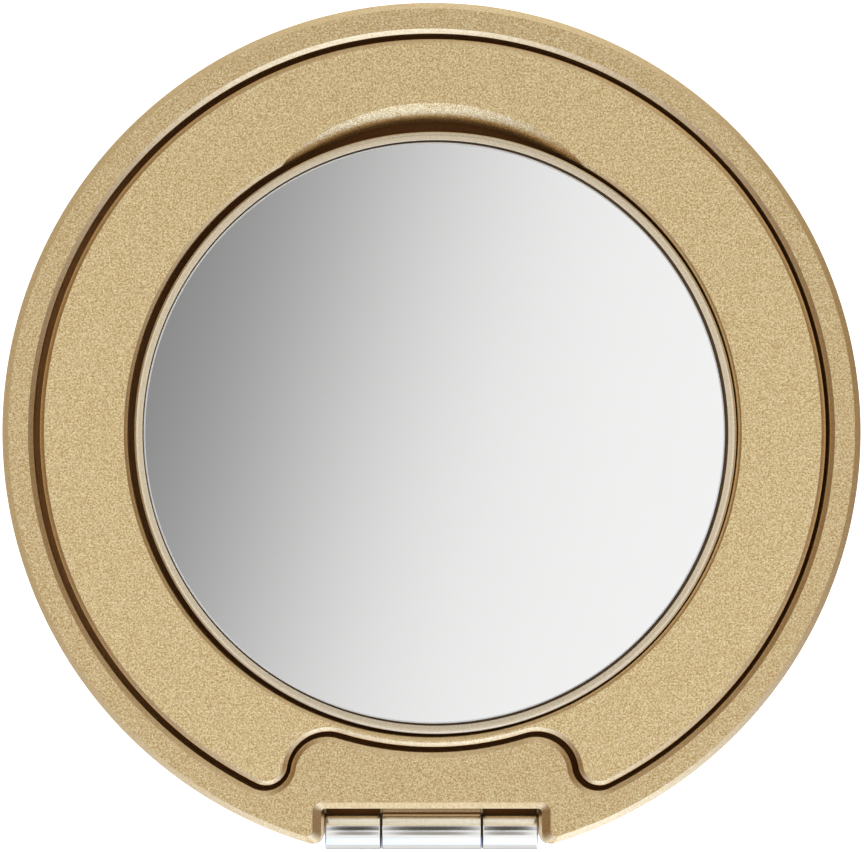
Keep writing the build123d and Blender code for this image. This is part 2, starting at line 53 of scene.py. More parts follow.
# All shapes below are worked out in millimetres and written to their meshes in metres.
MM = 0.001
TURN = 720
# How upright the normal of a level face is, and of a face that slopes like a bevel.
LEVEL_NORMAL = 0.99995
BEVEL_NORMALS = (0.12, 0.985)


def box_mm(node):
    """A CAD node's lowest and highest corners in millimetres."""
    low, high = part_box(node)
    return np.array(low) / MM, np.array(high) / MM


def circle_mm(low, high):
    """The centre and radius of a round node, from its corners."""
    return (low[:2] + high[:2]) / 2, (high[0] - low[0]) / 2


# ---- Sizes read from the frame ---------------------------------------------------------
shell_low, shell_high = box_mm("lid_shell")
LID_RADIUS = shell_high[0]
LID_TOP = shell_high[2]
LID_BOTTOM = shell_low[2]
liner_low, liner_high = box_mm("lid_liner")
WEB_BOTTOM = liner_high[2]
film_low, _ = box_mm("inlay_adhesive")
POCKET_FLOOR = film_low[2]
plate_low, plate_high = box_mm("inlay_plate")
PLATE_BOTTOM = plate_low[2]
PLATE_CENTRE = ((plate_low[0] + plate_high[0]) / 2, 0.0)
tray_low, tray_high = box_mm("mirror_tray")
MIRROR_CENTRE, TRAY_RADIUS = circle_mm(tray_low, tray_high)
TRAY_BOTTOM = tray_low[2]
glass_low, glass_high = box_mm("mirror_glass")
GLASS_CENTRE, GLASS_RADIUS = circle_mm(glass_low, glass_high)
GLASS_BOTTOM = glass_low[2]
GLASS_TOP = glass_high[2]
_, base_high = box_mm("base_shell")
BASE_RADIUS = base_high[0]
BASE_TOP = base_high[2]
BASE_REAR = base_high[1]
HINGE = next(j for j in frame["joints"] if j["name"] == "lid_hinge")
HINGE_Y = HINGE["pos_m"][1] / MM
HINGE_Z = HINGE["pos_m"][2] / MM
centre_low, centre_high = box_mm("hinge_centre_knuckle")
CENTRE_HALF = centre_high[0]
KNUCKLE_RADIUS = centre_high[1] - HINGE_Y
LEAF_INNER_Y = centre_low[1]
right_low, right_high = box_mm("hinge_right_knuckle")
SIDE_START = right_low[0]
SIDE_END = right_high[0]
deck_low, deck_high = box_mm("base_deck")
DECK_BOTTOM = deck_low[2]
DECK_TOP = deck_high[2]
DECK_RADIUS = deck_high[0]
DECK_REAR = deck_high[1]
pan_low, pan_high = box_mm("powder_pan")
PAN_CENTRE, PAN_RADIUS = circle_mm(pan_low, pan_high)
PAN_BOTTOM = pan_low[2]
PAN_TOP = pan_high[2]
cake_low, cake_high = box_mm("powder_cake")
_, CAKE_RADIUS = circle_mm(cake_low, cake_high)
CAKE_TOP = cake_high[2]
puff_low, puff_high = box_mm("puff_pad")
_, PUFF_RADIUS = circle_mm(puff_low, puff_high)
PUFF_BOTTOM = puff_low[2]
PUFF_TOP = puff_high[2]
ribbon_low, ribbon_high = box_mm("puff_ribbon")
RIBBON_HALF_LENGTH = ribbon_high[0]
RIBBON_HALF_WIDTH = (ribbon_high[1] - ribbon_low[1]) / 2
pad_low, _ = box_mm("pan_pad")
keeper_low, keeper_high = box_mm("mirror_keeper")
magnet_low, magnet_high = box_mm("mirror_magnets")
bumper_low, bumper_high = box_mm("closing_bumpers")
lid_catch_low, lid_catch_high = box_mm("lid_latch_magnets")
base_catch_low, base_catch_high = box_mm("base_latch_magnets")
_, lid_screw_high = box_mm("lid_hinge_screws")
_, base_screw_high = box_mm("base_hinge_screws")
glue_low, _ = box_mm("mirror_adhesive")

# ---- Shapes that the frame's boxes can't give, the same as the CAD's --------------------
GROOVE_WIDTH = 0.46
HALF_GROOVE = GROOVE_WIDTH / 2
GROOVE_RADIUS = -plate_low[1] + HALF_GROOVE
TAB_CREST_RADIUS = 27.35
SHOULDER_RADIUS = 3.38
SHOULDER_BEARING = radians(17.0)
LOBE_RADIUS = 2.06
POCKET_BEVEL = 0.43
POCKET_BEVEL_DEPTH = 0.28
PLATE_BEVEL = 0.38
PLATE_BEVEL_DEPTH = 0.26
WELL_RADIUS = 26.27
WELL_BEVEL = 0.32
WELL_BEVEL_DEPTH = 0.26
SCOOP_RADIUS = 21.15
SCOOP_CENTRE = 5.63
SCOOP_MOUTH_RADIUS = 18.6
SCOOP_MOUTH_CENTRE = 9.73
SCOOP_BROW_WIDTH = 0.8
SCOOP_BROW_ANGLE = radians(24.0)
SCOOP_FALL_ANGLE = radians(36.0)
SCOOP_REACH = 28.6
SCOOP_REAR = -22.0
BEZEL_INNER = 25.2
GROUND_EDGE = 0.13
RIM_BEVEL_WIDTH = 0.56
RIM_BEVEL_HEIGHT = 0.8
NOTCH_MOUTH = (10.25, 31.88, 0.8)
NOTCH_WALL = (9.5, 32.45, 0.3)
NOTCH_FOOT = (9.27, 32.45, 0.3)
NOTCH_BEVEL_DEPTH = 0.6
NOTCH_DRAFT_DEPTH = 1.4
NOTCH_FOOT_ROUND = 0.85
NOTCH_FOOT_ROUND_TOP = 0.55
# The notch's side and rear faces lie between these two in Y.
NOTCH_FACES = (32.0, 32.6)
# Across the lug a painted shadow line lies between these two in Y, and a painted highlight lies beyond
# them.
LUG_SHADOW_LINE = (32.93, 33.15)
LINER_RECESS_RADIUS = 33.9
LINER_RECESS_REAR = 27.8
RELIEF_SLOPE = radians(47.0)
RELIEF_REACH = 12.0
BASE_FLOOR = pad_low[2]
FOOT_ROUND = 2.0
CAVITY_RADIUS = 34.0
CAVITY_REAR = 28.8
SADDLE_CLEARANCE = 0.25
RELIEF_RADIUS = 18.0
RELIEF_DEPTH = 1.0
RELIEF_BOTTOM = 5.3
DECK_THICKNESS = 1.2
PAN_WELL_RADIUS = 26.8
PAN_WELL_WALL = 1.2
PAN_WALL = 0.4
CAKE_RINGS = (22.0, 15.0, 8.0)
RING_DEPTH = 0.2
CAKE_SWELL = 0.05
MAGNET_CIRCLE = 11.0
MAGNET_RADIUS = 3.0
BUMPER_CIRCLE = 31.0
BUMPER_RADIUS = 1.1
CATCH_CIRCLE = 35.45
CATCH_BEARING = radians(16.0)
CATCH_RADIUS = 0.9
SCREW_RADIUS = 0.5
SCREW_HEAD_RADIUS = 0.9
SCREW_Y = 31.3
SCREW_HEAD_DEPTH = 0.4
SCREW_LENGTH = 3.0
LEAF_THICKNESS = 0.4
LEAF_OUTER_Y = 33.6
# Beyond this line in Y the base leaves get painted shade, where the notch shows them.
LEAF_SHADE_Y = 32.36
KNUCKLE_EASE = 0.035
KNUCKLE_SOFT = 0.15
# The knuckles' facing ends, which get painted shade, lie nearer to the middle than this.
BARREL_ENDS = 6.0
PIN_RADIUS = 0.5
KEEPER_RECESS = (15.0, 0.45)
MIRROR_MAGNETS = 3
LID_SCREW_X = lid_screw_high[0] - SCREW_HEAD_RADIUS
BASE_SCREW_X = base_screw_high[0] - SCREW_HEAD_RADIUS
# The puff is blown up at a larger scale, where its voxels and greatest swell are in metres, from
# a smaller and flatter shape.
PUFF_SCALE = 10.0
PUFF_START = 0.975
PUFF_FLATNESS = 0.55
PUFF_SQUARENESS = 0.42
PUFF_VOXEL = 0.0065
PUFF_SWELL = 0.012
PUCKERS = 60
PUCKER_REACH = 3.5
PUCKER_DEPTH = 0.16
RIBBON_GRID = (441, 57)
RIBBON_HALF_THICK = 0.06
RIBBON_GAP = 0.03
RIBBON_RISE = 0.08
RIBBON_HEM = 0.03
RIBBON_NARROWING = 0.05
RIBBON_SEAM_INSET = 1.1
RIBBON_SEAM_WIDTH = 0.22
RIBBON_SEAM_DEPTH = 0.09
RIBBON_STITCH = 0.95


# ---- Mesh helpers -----------------------------------------------------------------------
def bearing_point(radius, bearing, centre=(0.0, 0.0)):
    """A point at this bearing, measured from +Y towards +X."""
    return (centre[0] + radius * sin(bearing), centre[1] + radius * cos(bearing))


def arc(centre, radius, first, last, count):
    """Points on an arc between two bearings, without the last one."""
    steps = [first + (last - first) * i / count for i in range(count)]
    return [bearing_point(radius, step, centre) for step in steps]


def level(points, z, centre=(0.0, 0.0)):
    return [(x + centre[0], y + centre[1], z) for x, y in points]


def mirrored(points):
    return [(-x, y) for x, y in points]


def rounded(corners, steps=5):
    """A polyline of (a, b, radius) corners, with each corner replaced by its fillet."""
    points = []
    for i, (a, b, radius) in enumerate(corners):
        here = Vector((a, b))
        if radius <= 0 or i in (0, len(corners) - 1):
            points.append((a, b))
            continue
        before = (Vector(corners[i - 1][:2]) - here).normalized()
        after = (Vector(corners[i + 1][:2]) - here).normalized()
        half = before.angle(after) / 2
        centre = here + (before + after).normalized() * radius / sin(half)
        start = here + before * radius / tan(half) - centre
        end = here + after * radius / tan(half) - centre
        sweep = start.angle(end)
        turn = 1 if start.x * end.y - start.y * end.x > 0 else -1
        for step in range(steps + 1):
            angle = turn * sweep * step / steps
            x = start.x * cos(angle) - start.y * sin(angle)
            y = start.x * sin(angle) + start.y * cos(angle)
            points.append((centre.x + x, centre.y + y))
    return points


@contextmanager
def edited(mesh):
    """A mesh opened for editing, and written back afterwards."""
    work = bmesh.new()
    work.from_mesh(mesh)
    yield work
    work.to_mesh(mesh)
    work.free()


def add_object(name, vertices=(), faces=()):
    """A new mesh object from points in metres."""
    mesh = bpy.data.meshes.new(name)
    mesh.from_pydata(vertices, [], faces)
    piece = bpy.data.objects.new(name, mesh)
    scene.collection.objects.link(piece)
    return piece


def remove(piece):
    mesh = piece.data
    bpy.data.objects.remove(piece)
    bpy.data.meshes.remove(mesh)


def bake(piece):
    """Turns a piece into what its modifiers make of it."""
    graph = bpy.context.evaluated_depsgraph_get()
    result = bpy.data.meshes.new_from_object(piece.evaluated_get(graph))
    old = piece.data
    piece.modifiers.clear()
    piece.data = result
    bpy.data.meshes.remove(old)


def make_object(name, vertices, faces):
    """A new mesh object from points in millimetres."""
    piece = add_object(name, [(x * MM, y * MM, z * MM) for x, y, z in vertices], faces)
    piece.data.validate()
    with edited(piece.data) as work:
        bmesh.ops.remove_doubles(work, verts=work.verts, dist=1e-8)
        bmesh.ops.recalc_face_normals(work, faces=work.faces)
    return piece


def loft(name, loops, closed=False):
    """A solid through loops that have equal numbers of points, capped unless it is closed."""
    count = len(loops[0])
    vertices = [tuple(point) for loop in loops for point in loop]
    faces = []
    spans = len(loops) if closed else len(loops) - 1
    for row in range(spans):
        here = row * count
        above = ((row + 1) % len(loops)) * count
        for i in range(count):
            j = (i + 1) % count
            faces.append((here + i, here + j, above + j, above + i))
    if not closed:
        faces.append(tuple(range(count))[::-1])
        faces.append(tuple((len(loops) - 1) * count + i for i in range(count)))
    return make_object(name, vertices, faces)


def ring_solid(name, outer, inner, floor):
    """A solid with stacked outer loops and an opening of stacked inner loops.

    Both stacks run from the bottom up. With a floor the opening is blind, and its lowest loop
    is closed across. Otherwise the opening goes right through.
    """
    piece = add_object(name)
    with edited(piece.data) as work:
        rims = []
        for loops in (outer, inner):
            rows = [[work.verts.new((x * MM, y * MM, z * MM)) for x, y, z in loop] for loop in loops]
            for lower, upper in zip(rows, rows[1:]):
                for i in range(len(lower)):
                    j = (i + 1) % len(lower)
                    work.faces.new((lower[i], lower[j], upper[j], upper[i]))
            rims.append(rows)
        if floor:
            work.faces.new(rims[1][0])
            work.faces.new(rims[0][0])
        for end in (-1,) if floor else (0, -1):
            edges = []
            for rows in rims:
                row = rows[end]
                for i in range(len(row)):
                    edges.append(work.edges.get((row[i], row[(i + 1) % len(row)])))
            bmesh.ops.triangle_fill(work, use_beauty=True, edges=edges, normal=(0, 0, 1))
        bmesh.ops.recalc_face_normals(work, faces=work.faces)
    return piece


def lathe(name, profile, centre=(0.0, 0.0), segments=TURN, along_x=False):
    """A solid of revolution. Its profile runs from axis to axis, or closes on itself."""
    on_axis = profile[0][0] < 1e-9 and profile[-1][0] < 1e-9
    loops = []
    for radius, height in profile[1:-1] if on_axis else profile:
        ring = arc((0, 0), radius, 0, 2 * pi, segments)
        if along_x:
            loops.append([(height, HINGE_Y + y, HINGE_Z + x) for x, y in ring])
        else:
            loops.append(level(ring, height, centre))
    return loft(name, loops, closed=not on_axis)


def hinge_rod(name, radius, half):
    """A plain rod on the hinge's axis, as a cutting tool."""
    profile = [(0, -half), (radius, -half), (radius, half), (0, half)]
    return lathe(name, profile, segments=192, along_x=True)


def block(name, low, high, bevel=0.0):
    """A rectangular solid between two corners, with its edges broken."""
    x0, y0, z0 = low
    x1, y1, z1 = high
    corners = [(x0, y0), (x1, y0), (x1, y1), (x0, y1)]
    piece = loft(name, [level(corners, z) for z in (z0, z1)])
    if bevel:
        with edited(piece.data) as work:
            bmesh.ops.bevel(
                work, geom=work.edges[:], offset=bevel * MM, segments=2, affect="EDGES", profile=0.5
            )
    return piece


def combine(piece, tools, operation="DIFFERENCE"):
    """Applies one boolean after another and removes the tools."""
    for tool in tools:
        modifier = piece.modifiers.new("cut", "BOOLEAN")
        modifier.operation = operation
        modifier.solver = "EXACT"
        modifier.object = tool
    bake(piece)
    for tool in tools:
        remove(tool)
    return piece


def join(name, pieces):
    """Several objects made into one."""
    work = bmesh.new()
    for piece in pieces:
        work.from_mesh(piece.data)
        remove(piece)
    whole = add_object(name)
    work.to_mesh(whole.data)
    work.free()
    return whole


def disc(name, radius, low, high, centre=(0.0, 0.0), soft=0.1, segments=96):
    """A round disc or short rod with softened edges."""
    profile = rounded([(0, low, 0), (radius, low, soft), (radius, high, soft), (0, high, 0)], 4)
    return lathe(name, profile, centre, segments)


def shade(piece, angle):
    """Smooth shading that keeps sharp edges sharp and level faces perfectly flat."""
    mesh = piece.data
    mesh.shade_smooth()
    mesh.set_sharp_from_angle(angle=radians(angle))
    for face in mesh.polygons:
        if abs(face.normal.z) > LEVEL_NORMAL:
            face.use_smooth = False


def paint(piece, first, bevel=None):
    """One material all over, or a second one on faces that slope like a bevel."""
    piece.data.materials.clear()
    piece.data.materials.append(first)
    if bevel is None:
        return
    piece.data.materials.append(bevel)
    shallow, steep = BEVEL_NORMALS
    for face in piece.data.polygons:
        x, y, _ = face.center / MM
        in_scoop = WELL_RADIUS + 0.1 < hypot(x, y) < SCOOP_REACH and y < SCOOP_REAR
        if shallow < abs(face.normal.z) < steep and not in_scoop:
            face.material_index = 1


def cut_across(piece, y, test):
    """Splits the faces that pass the test along a line parallel to X."""
    with edited(piece.data) as work:
        chosen = [f for f in work.faces if test(f.calc_center_median() / MM, f.normal)]
        around = {e for f in chosen for e in f.edges} | {v for f in chosen for v in f.verts}
        bmesh.ops.bisect_plane(
            work, geom=chosen + list(around), plane_co=(0, y * MM, 0), plane_no=(0, 1, 0)
        )


def paint_where(piece, material, test):
    """One more material, on the faces whose centre (mm) and normal pass a test."""
    piece.data.materials.append(material)
    slot = len(piece.data.materials) - 1
    for face in piece.data.polygons:
        if test(face.center / MM, face.normal):
            face.material_index = slot


# ---- Outlines ---------------------------------------------------------------------------
def inlay_outline(grow):
    """The shadow gap's centre line, grown outwards or shrunk inwards, as a closed loop."""
    shoulder_distance = TAB_CREST_RADIUS + SHOULDER_RADIUS
    lobe_distance = GROOVE_RADIUS - LOBE_RADIUS
    reach = SHOULDER_RADIUS + LOBE_RADIUS
    between = acos(
        (shoulder_distance**2 + lobe_distance**2 - reach**2)
        / (2 * shoulder_distance * lobe_distance)
    )
    lobe_bearing = SHOULDER_BEARING + between
    shoulder = bearing_point(shoulder_distance, -SHOULDER_BEARING)
    lobe = bearing_point(lobe_distance, -lobe_bearing)
    across = atan2(shoulder[0] - lobe[0], shoulder[1] - lobe[1])
    outer = arc((0, 0), GROOVE_RADIUS + grow, lobe_bearing, 2 * pi - lobe_bearing, 640)
    left = arc(lobe, LOBE_RADIUS + grow, -lobe_bearing, across, 40)
    left += arc(shoulder, SHOULDER_RADIUS - grow, across - pi, -SHOULDER_BEARING - pi, 40)
    crest = arc((0, 0), TAB_CREST_RADIUS + grow, -SHOULDER_BEARING, SHOULDER_BEARING, 80)
    turn = bearing_point(TAB_CREST_RADIUS + grow, SHOULDER_BEARING)
    right = mirrored(left)[::-1]
    return outer + left + crest + [turn] + right[:-1]


def chord_circle(radius, chord_y, centre_y=0.0, count=360):
    """A circle with its rear cut off straight."""
    edge = acos((chord_y - centre_y) / radius)
    return arc((0, centre_y), radius, edge, 2 * pi - edge, count) + [
        bearing_point(radius, -edge, (0, centre_y))
    ]


def shank_holes(half_x, low, high):
    """Blind holes for a pair of screws."""
    grow = SCREW_RADIUS + 0.02
    return [disc("hole", grow, low, high + 0.02, (x, SCREW_Y), 0.02, 48) for x in (-half_x, half_x)]


def catch_holes(low, high):
    """Blind holes for the two closing magnets of one rim."""
    return [disc("hole", CATCH_RADIUS + 0.02, low, high, at, 0.02, 64) for at in CATCH_PLACES]


# Where the mirror's magnets and each rim's two closing magnets sit.
MAGNET_PLACES = arc((0, 0), MAGNET_CIRCLE, 0, 2 * pi, MIRROR_MAGNETS)
CATCH_PLACES = [bearing_point(CATCH_CIRCLE, pi + turn) for turn in (-CATCH_BEARING, CATCH_BEARING)]


# ---- Lid shell --------------------------------------------------------------------------
def lid_outline(size, foot, rim):
    """The lid's outline at one level: the rim's circle, broken by the hinge notch."""
    half_width, inner_y, corner = size
    foot_y = sqrt((rim - foot) ** 2 - (half_width + foot) ** 2)
    foot_bearing = atan2(half_width + foot, foot_y)
    circle = arc((0, 0), rim, foot_bearing, 2 * pi - foot_bearing, 900)
    left = arc((-half_width - foot, foot_y), foot, -foot_bearing, pi / 2, 24)
    left += [(-half_width, foot_y)]
    left += arc((-half_width + corner, inner_y + corner), corner, -pi / 2, -pi, 16)[1:]
    left += [(-half_width + corner, inner_y)]
    return circle + left + mirrored(left)[::-1][:-1]


def rim_levels():
    """The lid's side and top bevel as (radius, height), from the bottom up."""
    profile = rounded([
        (LID_RADIUS - 0.25, LID_BOTTOM, 0),
        (LID_RADIUS, LID_BOTTOM + 0.25, 0.2),
        (LID_RADIUS, LID_TOP - RIM_BEVEL_HEIGHT, 0.25),
        (LID_RADIUS - RIM_BEVEL_WIDTH, LID_TOP, 0.0),
    ])
    # The notch's draft ends at the first of these levels.
    for depth in (NOTCH_DRAFT_DEPTH, NOTCH_DRAFT_DEPTH / 2):
        profile.append((LID_RADIUS, LID_TOP - NOTCH_BEVEL_DEPTH - depth))
    profile.sort(key=lambda point: point[1])
    # The bevel rises in five steps, as the notch's outline changes along it.
    start, end = np.array(profile[-2]), np.array(profile[-1])
    profile[-1:-1] = [tuple(start + (end - start) * step / 5) for step in range(1, 5)]
    return profile


def notch_at(z):
    """The notch's size at a level, and the rounding where it meets the rim."""
    wall, mouth, foot = (np.array(size) for size in (NOTCH_WALL, NOTCH_MOUTH, NOTCH_FOOT))
    bevel_foot = LID_TOP - NOTCH_BEVEL_DEPTH
    if z < bevel_foot:
        share = max(0.0, 1 - (bevel_foot - z) / NOTCH_DRAFT_DEPTH)
        return foot + (wall - foot) * share, NOTCH_FOOT_ROUND
    share = (z - bevel_foot) / NOTCH_BEVEL_DEPTH
    rounding = NOTCH_FOOT_ROUND + (NOTCH_FOOT_ROUND_TOP - NOTCH_FOOT_ROUND) * share
    return wall + (mouth - wall) * share, rounding


def lid_cutters():
    """What is cut away under the lid: the hinge's seats, the liner's recess and blind holes."""
    leaf = block(
        "leaf",
        (-CENTRE_HALF, LEAF_INNER_Y - 0.1, LID_BOTTOM - 1),
        (CENTRE_HALF, LEAF_OUTER_Y, LID_BOTTOM + LEAF_THICKNESS),
    )
    barrel = hinge_rod("barrel", KNUCKLE_RADIUS, SIDE_START)
    # A sloping relief behind the hinge lets the lid swing back.
    rear = HINGE_Y + RELIEF_REACH
    low, high = HINGE_Z - 2, HINGE_Z + RELIEF_REACH * tan(RELIEF_SLOPE)
    side = [(HINGE_Y, low), (rear, low), (rear, high), (HINGE_Y, HINGE_Z)]
    relief = loft("relief", [[(x, y, z) for y, z in side] for x in (-20, 20)])
    outline = chord_circle(LINER_RECESS_RADIUS, LINER_RECESS_REAR)
    recess = loft("recess", [level(outline, z) for z in (LID_BOTTOM - 1, WEB_BOTTOM)])
    low, high = magnet_low[2] - 0.02, POCKET_FLOOR + 1
    holes = [disc("hole", MAGNET_RADIUS + 0.03, low, high, at, 0.02) for at in MAGNET_PLACES]
    holes += catch_holes(LID_BOTTOM - 1, lid_catch_high[2] + 0.02)
    holes += shank_holes(LID_SCREW_X, LID_BOTTOM - 0.1, LID_BOTTOM + SCREW_LENGTH)
    return [barrel, leaf, relief, recess] + holes


def build_lid_shell():
    outer = [level(lid_outline(*notch_at(z), rim), z) for rim, z in rim_levels()]
    pocket_profile = rounded([
        (0, POCKET_FLOOR, 0),
        (0, LID_TOP - POCKET_BEVEL_DEPTH, 0.06),
        (POCKET_BEVEL, LID_TOP, 0.0),
    ])
    inner = [level(inlay_outline(HALF_GROOVE + u), z) for u, z in pocket_profile]
    shell = ring_solid("lid_rim", outer, inner, floor=True)
    lug = block(
        "lug",
        (-CENTRE_HALF + 0.1, NOTCH_WALL[1] - 0.6, LID_BOTTOM + LEAF_THICKNESS),
        (CENTRE_HALF - 0.1, LEAF_OUTER_Y, LID_BOTTOM + 0.7),
    )
    combine(shell, [lug], "UNION")
    return combine(shell, lid_cutters())


# ---- Inlay plate ------------------------------------------------------------------------
def scoop_reach(share, bearing):
    """How far from the middle the scoop's edge lies, between its wall (0) and its mouth (1)."""
    radius = SCOOP_RADIUS + share * (SCOOP_MOUTH_RADIUS - SCOOP_RADIUS)
    centre = SCOOP_CENTRE + share * (SCOOP_MOUTH_CENTRE - SCOOP_CENTRE)
    return -centre * cos(bearing) + sqrt(radius**2 - (centre * sin(bearing)) ** 2)


def scoop_levels(run):
    """The scoop's fall and brow as (distance in from its mouth, depth), from the foot up."""
    brow_radius = SCOOP_BROW_WIDTH / (sin(SCOOP_FALL_ANGLE) - sin(SCOOP_BROW_ANGLE))
    fall_radius = (run - SCOOP_BROW_WIDTH) / (1 - sin(SCOOP_FALL_ANGLE))
    brow_depth = brow_radius * (cos(SCOOP_BROW_ANGLE) - cos(SCOOP_FALL_ANGLE))
    steps = []
    for i in range(24):
        roll = pi / 2 - (pi / 2 - SCOOP_FALL_ANGLE) * i / 24
        into = SCOOP_BROW_WIDTH + fall_radius * (sin(roll) - sin(SCOOP_FALL_ANGLE))
        steps.append((into, brow_depth + fall_radius * (cos(SCOOP_FALL_ANGLE) - cos(roll))))
    for i in range(13):
        roll = SCOOP_FALL_ANGLE - (SCOOP_FALL_ANGLE - SCOOP_BROW_ANGLE) * i / 12
        into = brow_radius * (sin(roll) - sin(SCOOP_BROW_ANGLE))
        steps.append((into, brow_radius * (cos(SCOOP_BROW_ANGLE) - cos(roll))))
    return steps


def build_inlay_plate():
    plate_profile = rounded([
        (0, PLATE_BOTTOM, 0),
        (0, LID_TOP - PLATE_BEVEL_DEPTH, 0.06),
        (PLATE_BEVEL, LID_TOP, 0),
    ])
    outer = [level(inlay_outline(-HALF_GROOVE - u), z, PLATE_CENTRE) for u, z in plate_profile]
    run = SCOOP_MOUTH_RADIUS + SCOOP_MOUTH_CENTRE - SCOOP_RADIUS - SCOOP_CENTRE
    bearings = [2 * pi * i / (2 * TURN) for i in range(2 * TURN)]
    inner = []
    for into, depth in [(run, LID_TOP - PLATE_BOTTOM)] + scoop_levels(run):
        bevel = WELL_BEVEL * max(0.0, 1 - depth / WELL_BEVEL_DEPTH)
        share = 1 - into / run
        reaches = [max(WELL_RADIUS + bevel, scoop_reach(share, b)) for b in bearings]
        points = [bearing_point(r, b) for r, b in zip(reaches, bearings)]
        inner.append(level(points, LID_TOP - depth, PLATE_CENTRE))
    return ring_solid("inlay_ring", outer, inner, floor=False)


# ---- Lift-out mirror --------------------------------------------------------------------
def build_mirror():
    recess_radius, recess_depth = KEEPER_RECESS
    underside = [
        (0, TRAY_BOTTOM + recess_depth),
        (recess_radius, TRAY_BOTTOM + recess_depth),
        (recess_radius, TRAY_BOTTOM),
        (TRAY_RADIUS - 0.2, TRAY_BOTTOM),
        (TRAY_RADIUS, TRAY_BOTTOM + 0.2),
    ]
    bezel = rounded([
        (TRAY_RADIUS, TRAY_BOTTOM + 0.3, 0),
        (TRAY_RADIUS, LID_TOP - 0.16, 0.14),
        (TRAY_RADIUS - 0.17, LID_TOP - 0.02, 0.16),
        (TRAY_RADIUS - 0.36, LID_TOP, 0.3),
        (BEZEL_INNER, LID_TOP - 0.03, 0.05),
        (BEZEL_INNER, LID_TOP - 0.25, 0),
    ], steps=8)
    floor = [(BEZEL_INNER, glue_low[2]), (0, glue_low[2])]
    tray = lathe("mirror_bezel", underside + bezel + floor, centre=MIRROR_CENTRE)
    glass_profile = rounded([
        (0, GLASS_BOTTOM, 0),
        (GLASS_RADIUS, GLASS_BOTTOM, 0),
        (GLASS_RADIUS, GLASS_TOP - GROUND_EDGE, 0.03),
        (GLASS_RADIUS - GROUND_EDGE, GLASS_TOP, 0.03),
        (0, GLASS_TOP, 0),
    ])
    return tray, lathe("mirror_plate", glass_profile, centre=GLASS_CENTRE)


# ---- Hinge ------------------------------------------------------------------------------
def screw_shape(name, x, head_z, point_z, grow=0.0):
    """A countersunk screw, or with some growth the hole that it sits in."""
    inward = 1 if point_z > head_z else -1
    profile = [
        (0, head_z - inward * grow),
        (SCREW_HEAD_RADIUS + grow, head_z - inward * grow),
        (SCREW_HEAD_RADIUS + grow, head_z),
        (SCREW_RADIUS + grow, head_z + inward * SCREW_HEAD_DEPTH),
        (SCREW_RADIUS + grow, point_z),
        (0, point_z),
    ]
    if not grow:
        profile.pop(1)
    return lathe(name, profile, (x, SCREW_Y), 64)


def build_screws(name, half_x, head_z, point_z):
    """Two countersunk screws with a crossed drive recess."""
    screws = []
    drive_depth = 0.22 if point_z > head_z else -0.22
    for x in (-half_x, half_x):
        screw = screw_shape(name, x, head_z, point_z)
        low_z, high_z = sorted((head_z - drive_depth, head_z + drive_depth))
        bars = [
            block("bar", (x - 0.5, SCREW_Y - 0.1, low_z), (x + 0.5, SCREW_Y + 0.1, high_z)),
            block("bar", (x - 0.1, SCREW_Y - 0.5, low_z), (x + 0.1, SCREW_Y + 0.5, high_z)),
        ]
        screws.append(combine(screw, bars))
    return join(name, screws)


def build_knuckle(name, x_low, x_high, leaf_low, bore, screws):
    """A bored tube with softened ends, and its flat leaf with holes for screws."""
    profile = rounded([
        (bore, x_low, 0),
        (KNUCKLE_RADIUS, x_low, KNUCKLE_SOFT),
        (KNUCKLE_RADIUS, x_high, KNUCKLE_SOFT),
        (bore, x_high, 0),
    ])
    tube = lathe(name, profile, segments=192, along_x=True)
    leaf = block(
        name + "_leaf",
        (x_low + 0.1, LEAF_INNER_Y, leaf_low),
        (x_high - 0.1, HINGE_Y - KNUCKLE_RADIUS + 0.5, leaf_low + LEAF_THICKNESS),
        bevel=0.05,
    )
    combine(tube, [leaf], "UNION")
    holes = [screw_shape("hole", x, head_z, point_z, 0.03) for x, head_z, point_z in screws]
    combine(tube, holes)
    # The leaf is split where its painted shade begins.
    cut_across(tube, LEAF_SHADE_Y, lambda at, up: abs(up.z) > 0.9)
    return tube


def build_pin():
    end = SIDE_END - 0.03
    corners = [(0, -end, 0), (PIN_RADIUS, -end, 0.15), (PIN_RADIUS, end, 0.15), (0, end, 0)]
    return lathe("pin_rod", rounded(corners), segments=96, along_x=True)


# ---- Inside of the lid -------------------------------------------------------------------
def build_liner():
    low, high = liner_low[2], liner_high[2]
    radius, rear = liner_high[0], liner_high[1]
    profile = [(-0.35, low), (-0.12, low + 0.03), (0.0, low + 0.15), (0.0, high)]
    loops = [level(chord_circle(radius + u, rear + u), z) for u, z in profile]
    return loft("lid_liner_disc", loops)


def catch_discs(name, low, high):
    """The two closing magnets of one rim, either side of the front."""
    return join(name, [disc(name, CATCH_RADIUS, low, high, at, 0.08, 64) for at in CATCH_PLACES])


def build_mirror_magnets():
    low, high = magnet_low[2], magnet_high[2]
    discs = [disc("magnet", MAGNET_RADIUS, low, high, at, 0.12) for at in MAGNET_PLACES]
    return join("mirror_magnet_set", discs)


def build_keeper():
    """The steel plate under the mirror, which the magnets hold."""
    radius = keeper_high[0] - MIRROR_CENTRE[0]
    return disc("keeper_plate", radius, keeper_low[2], keeper_high[2], MIRROR_CENTRE, 0.1, 256)


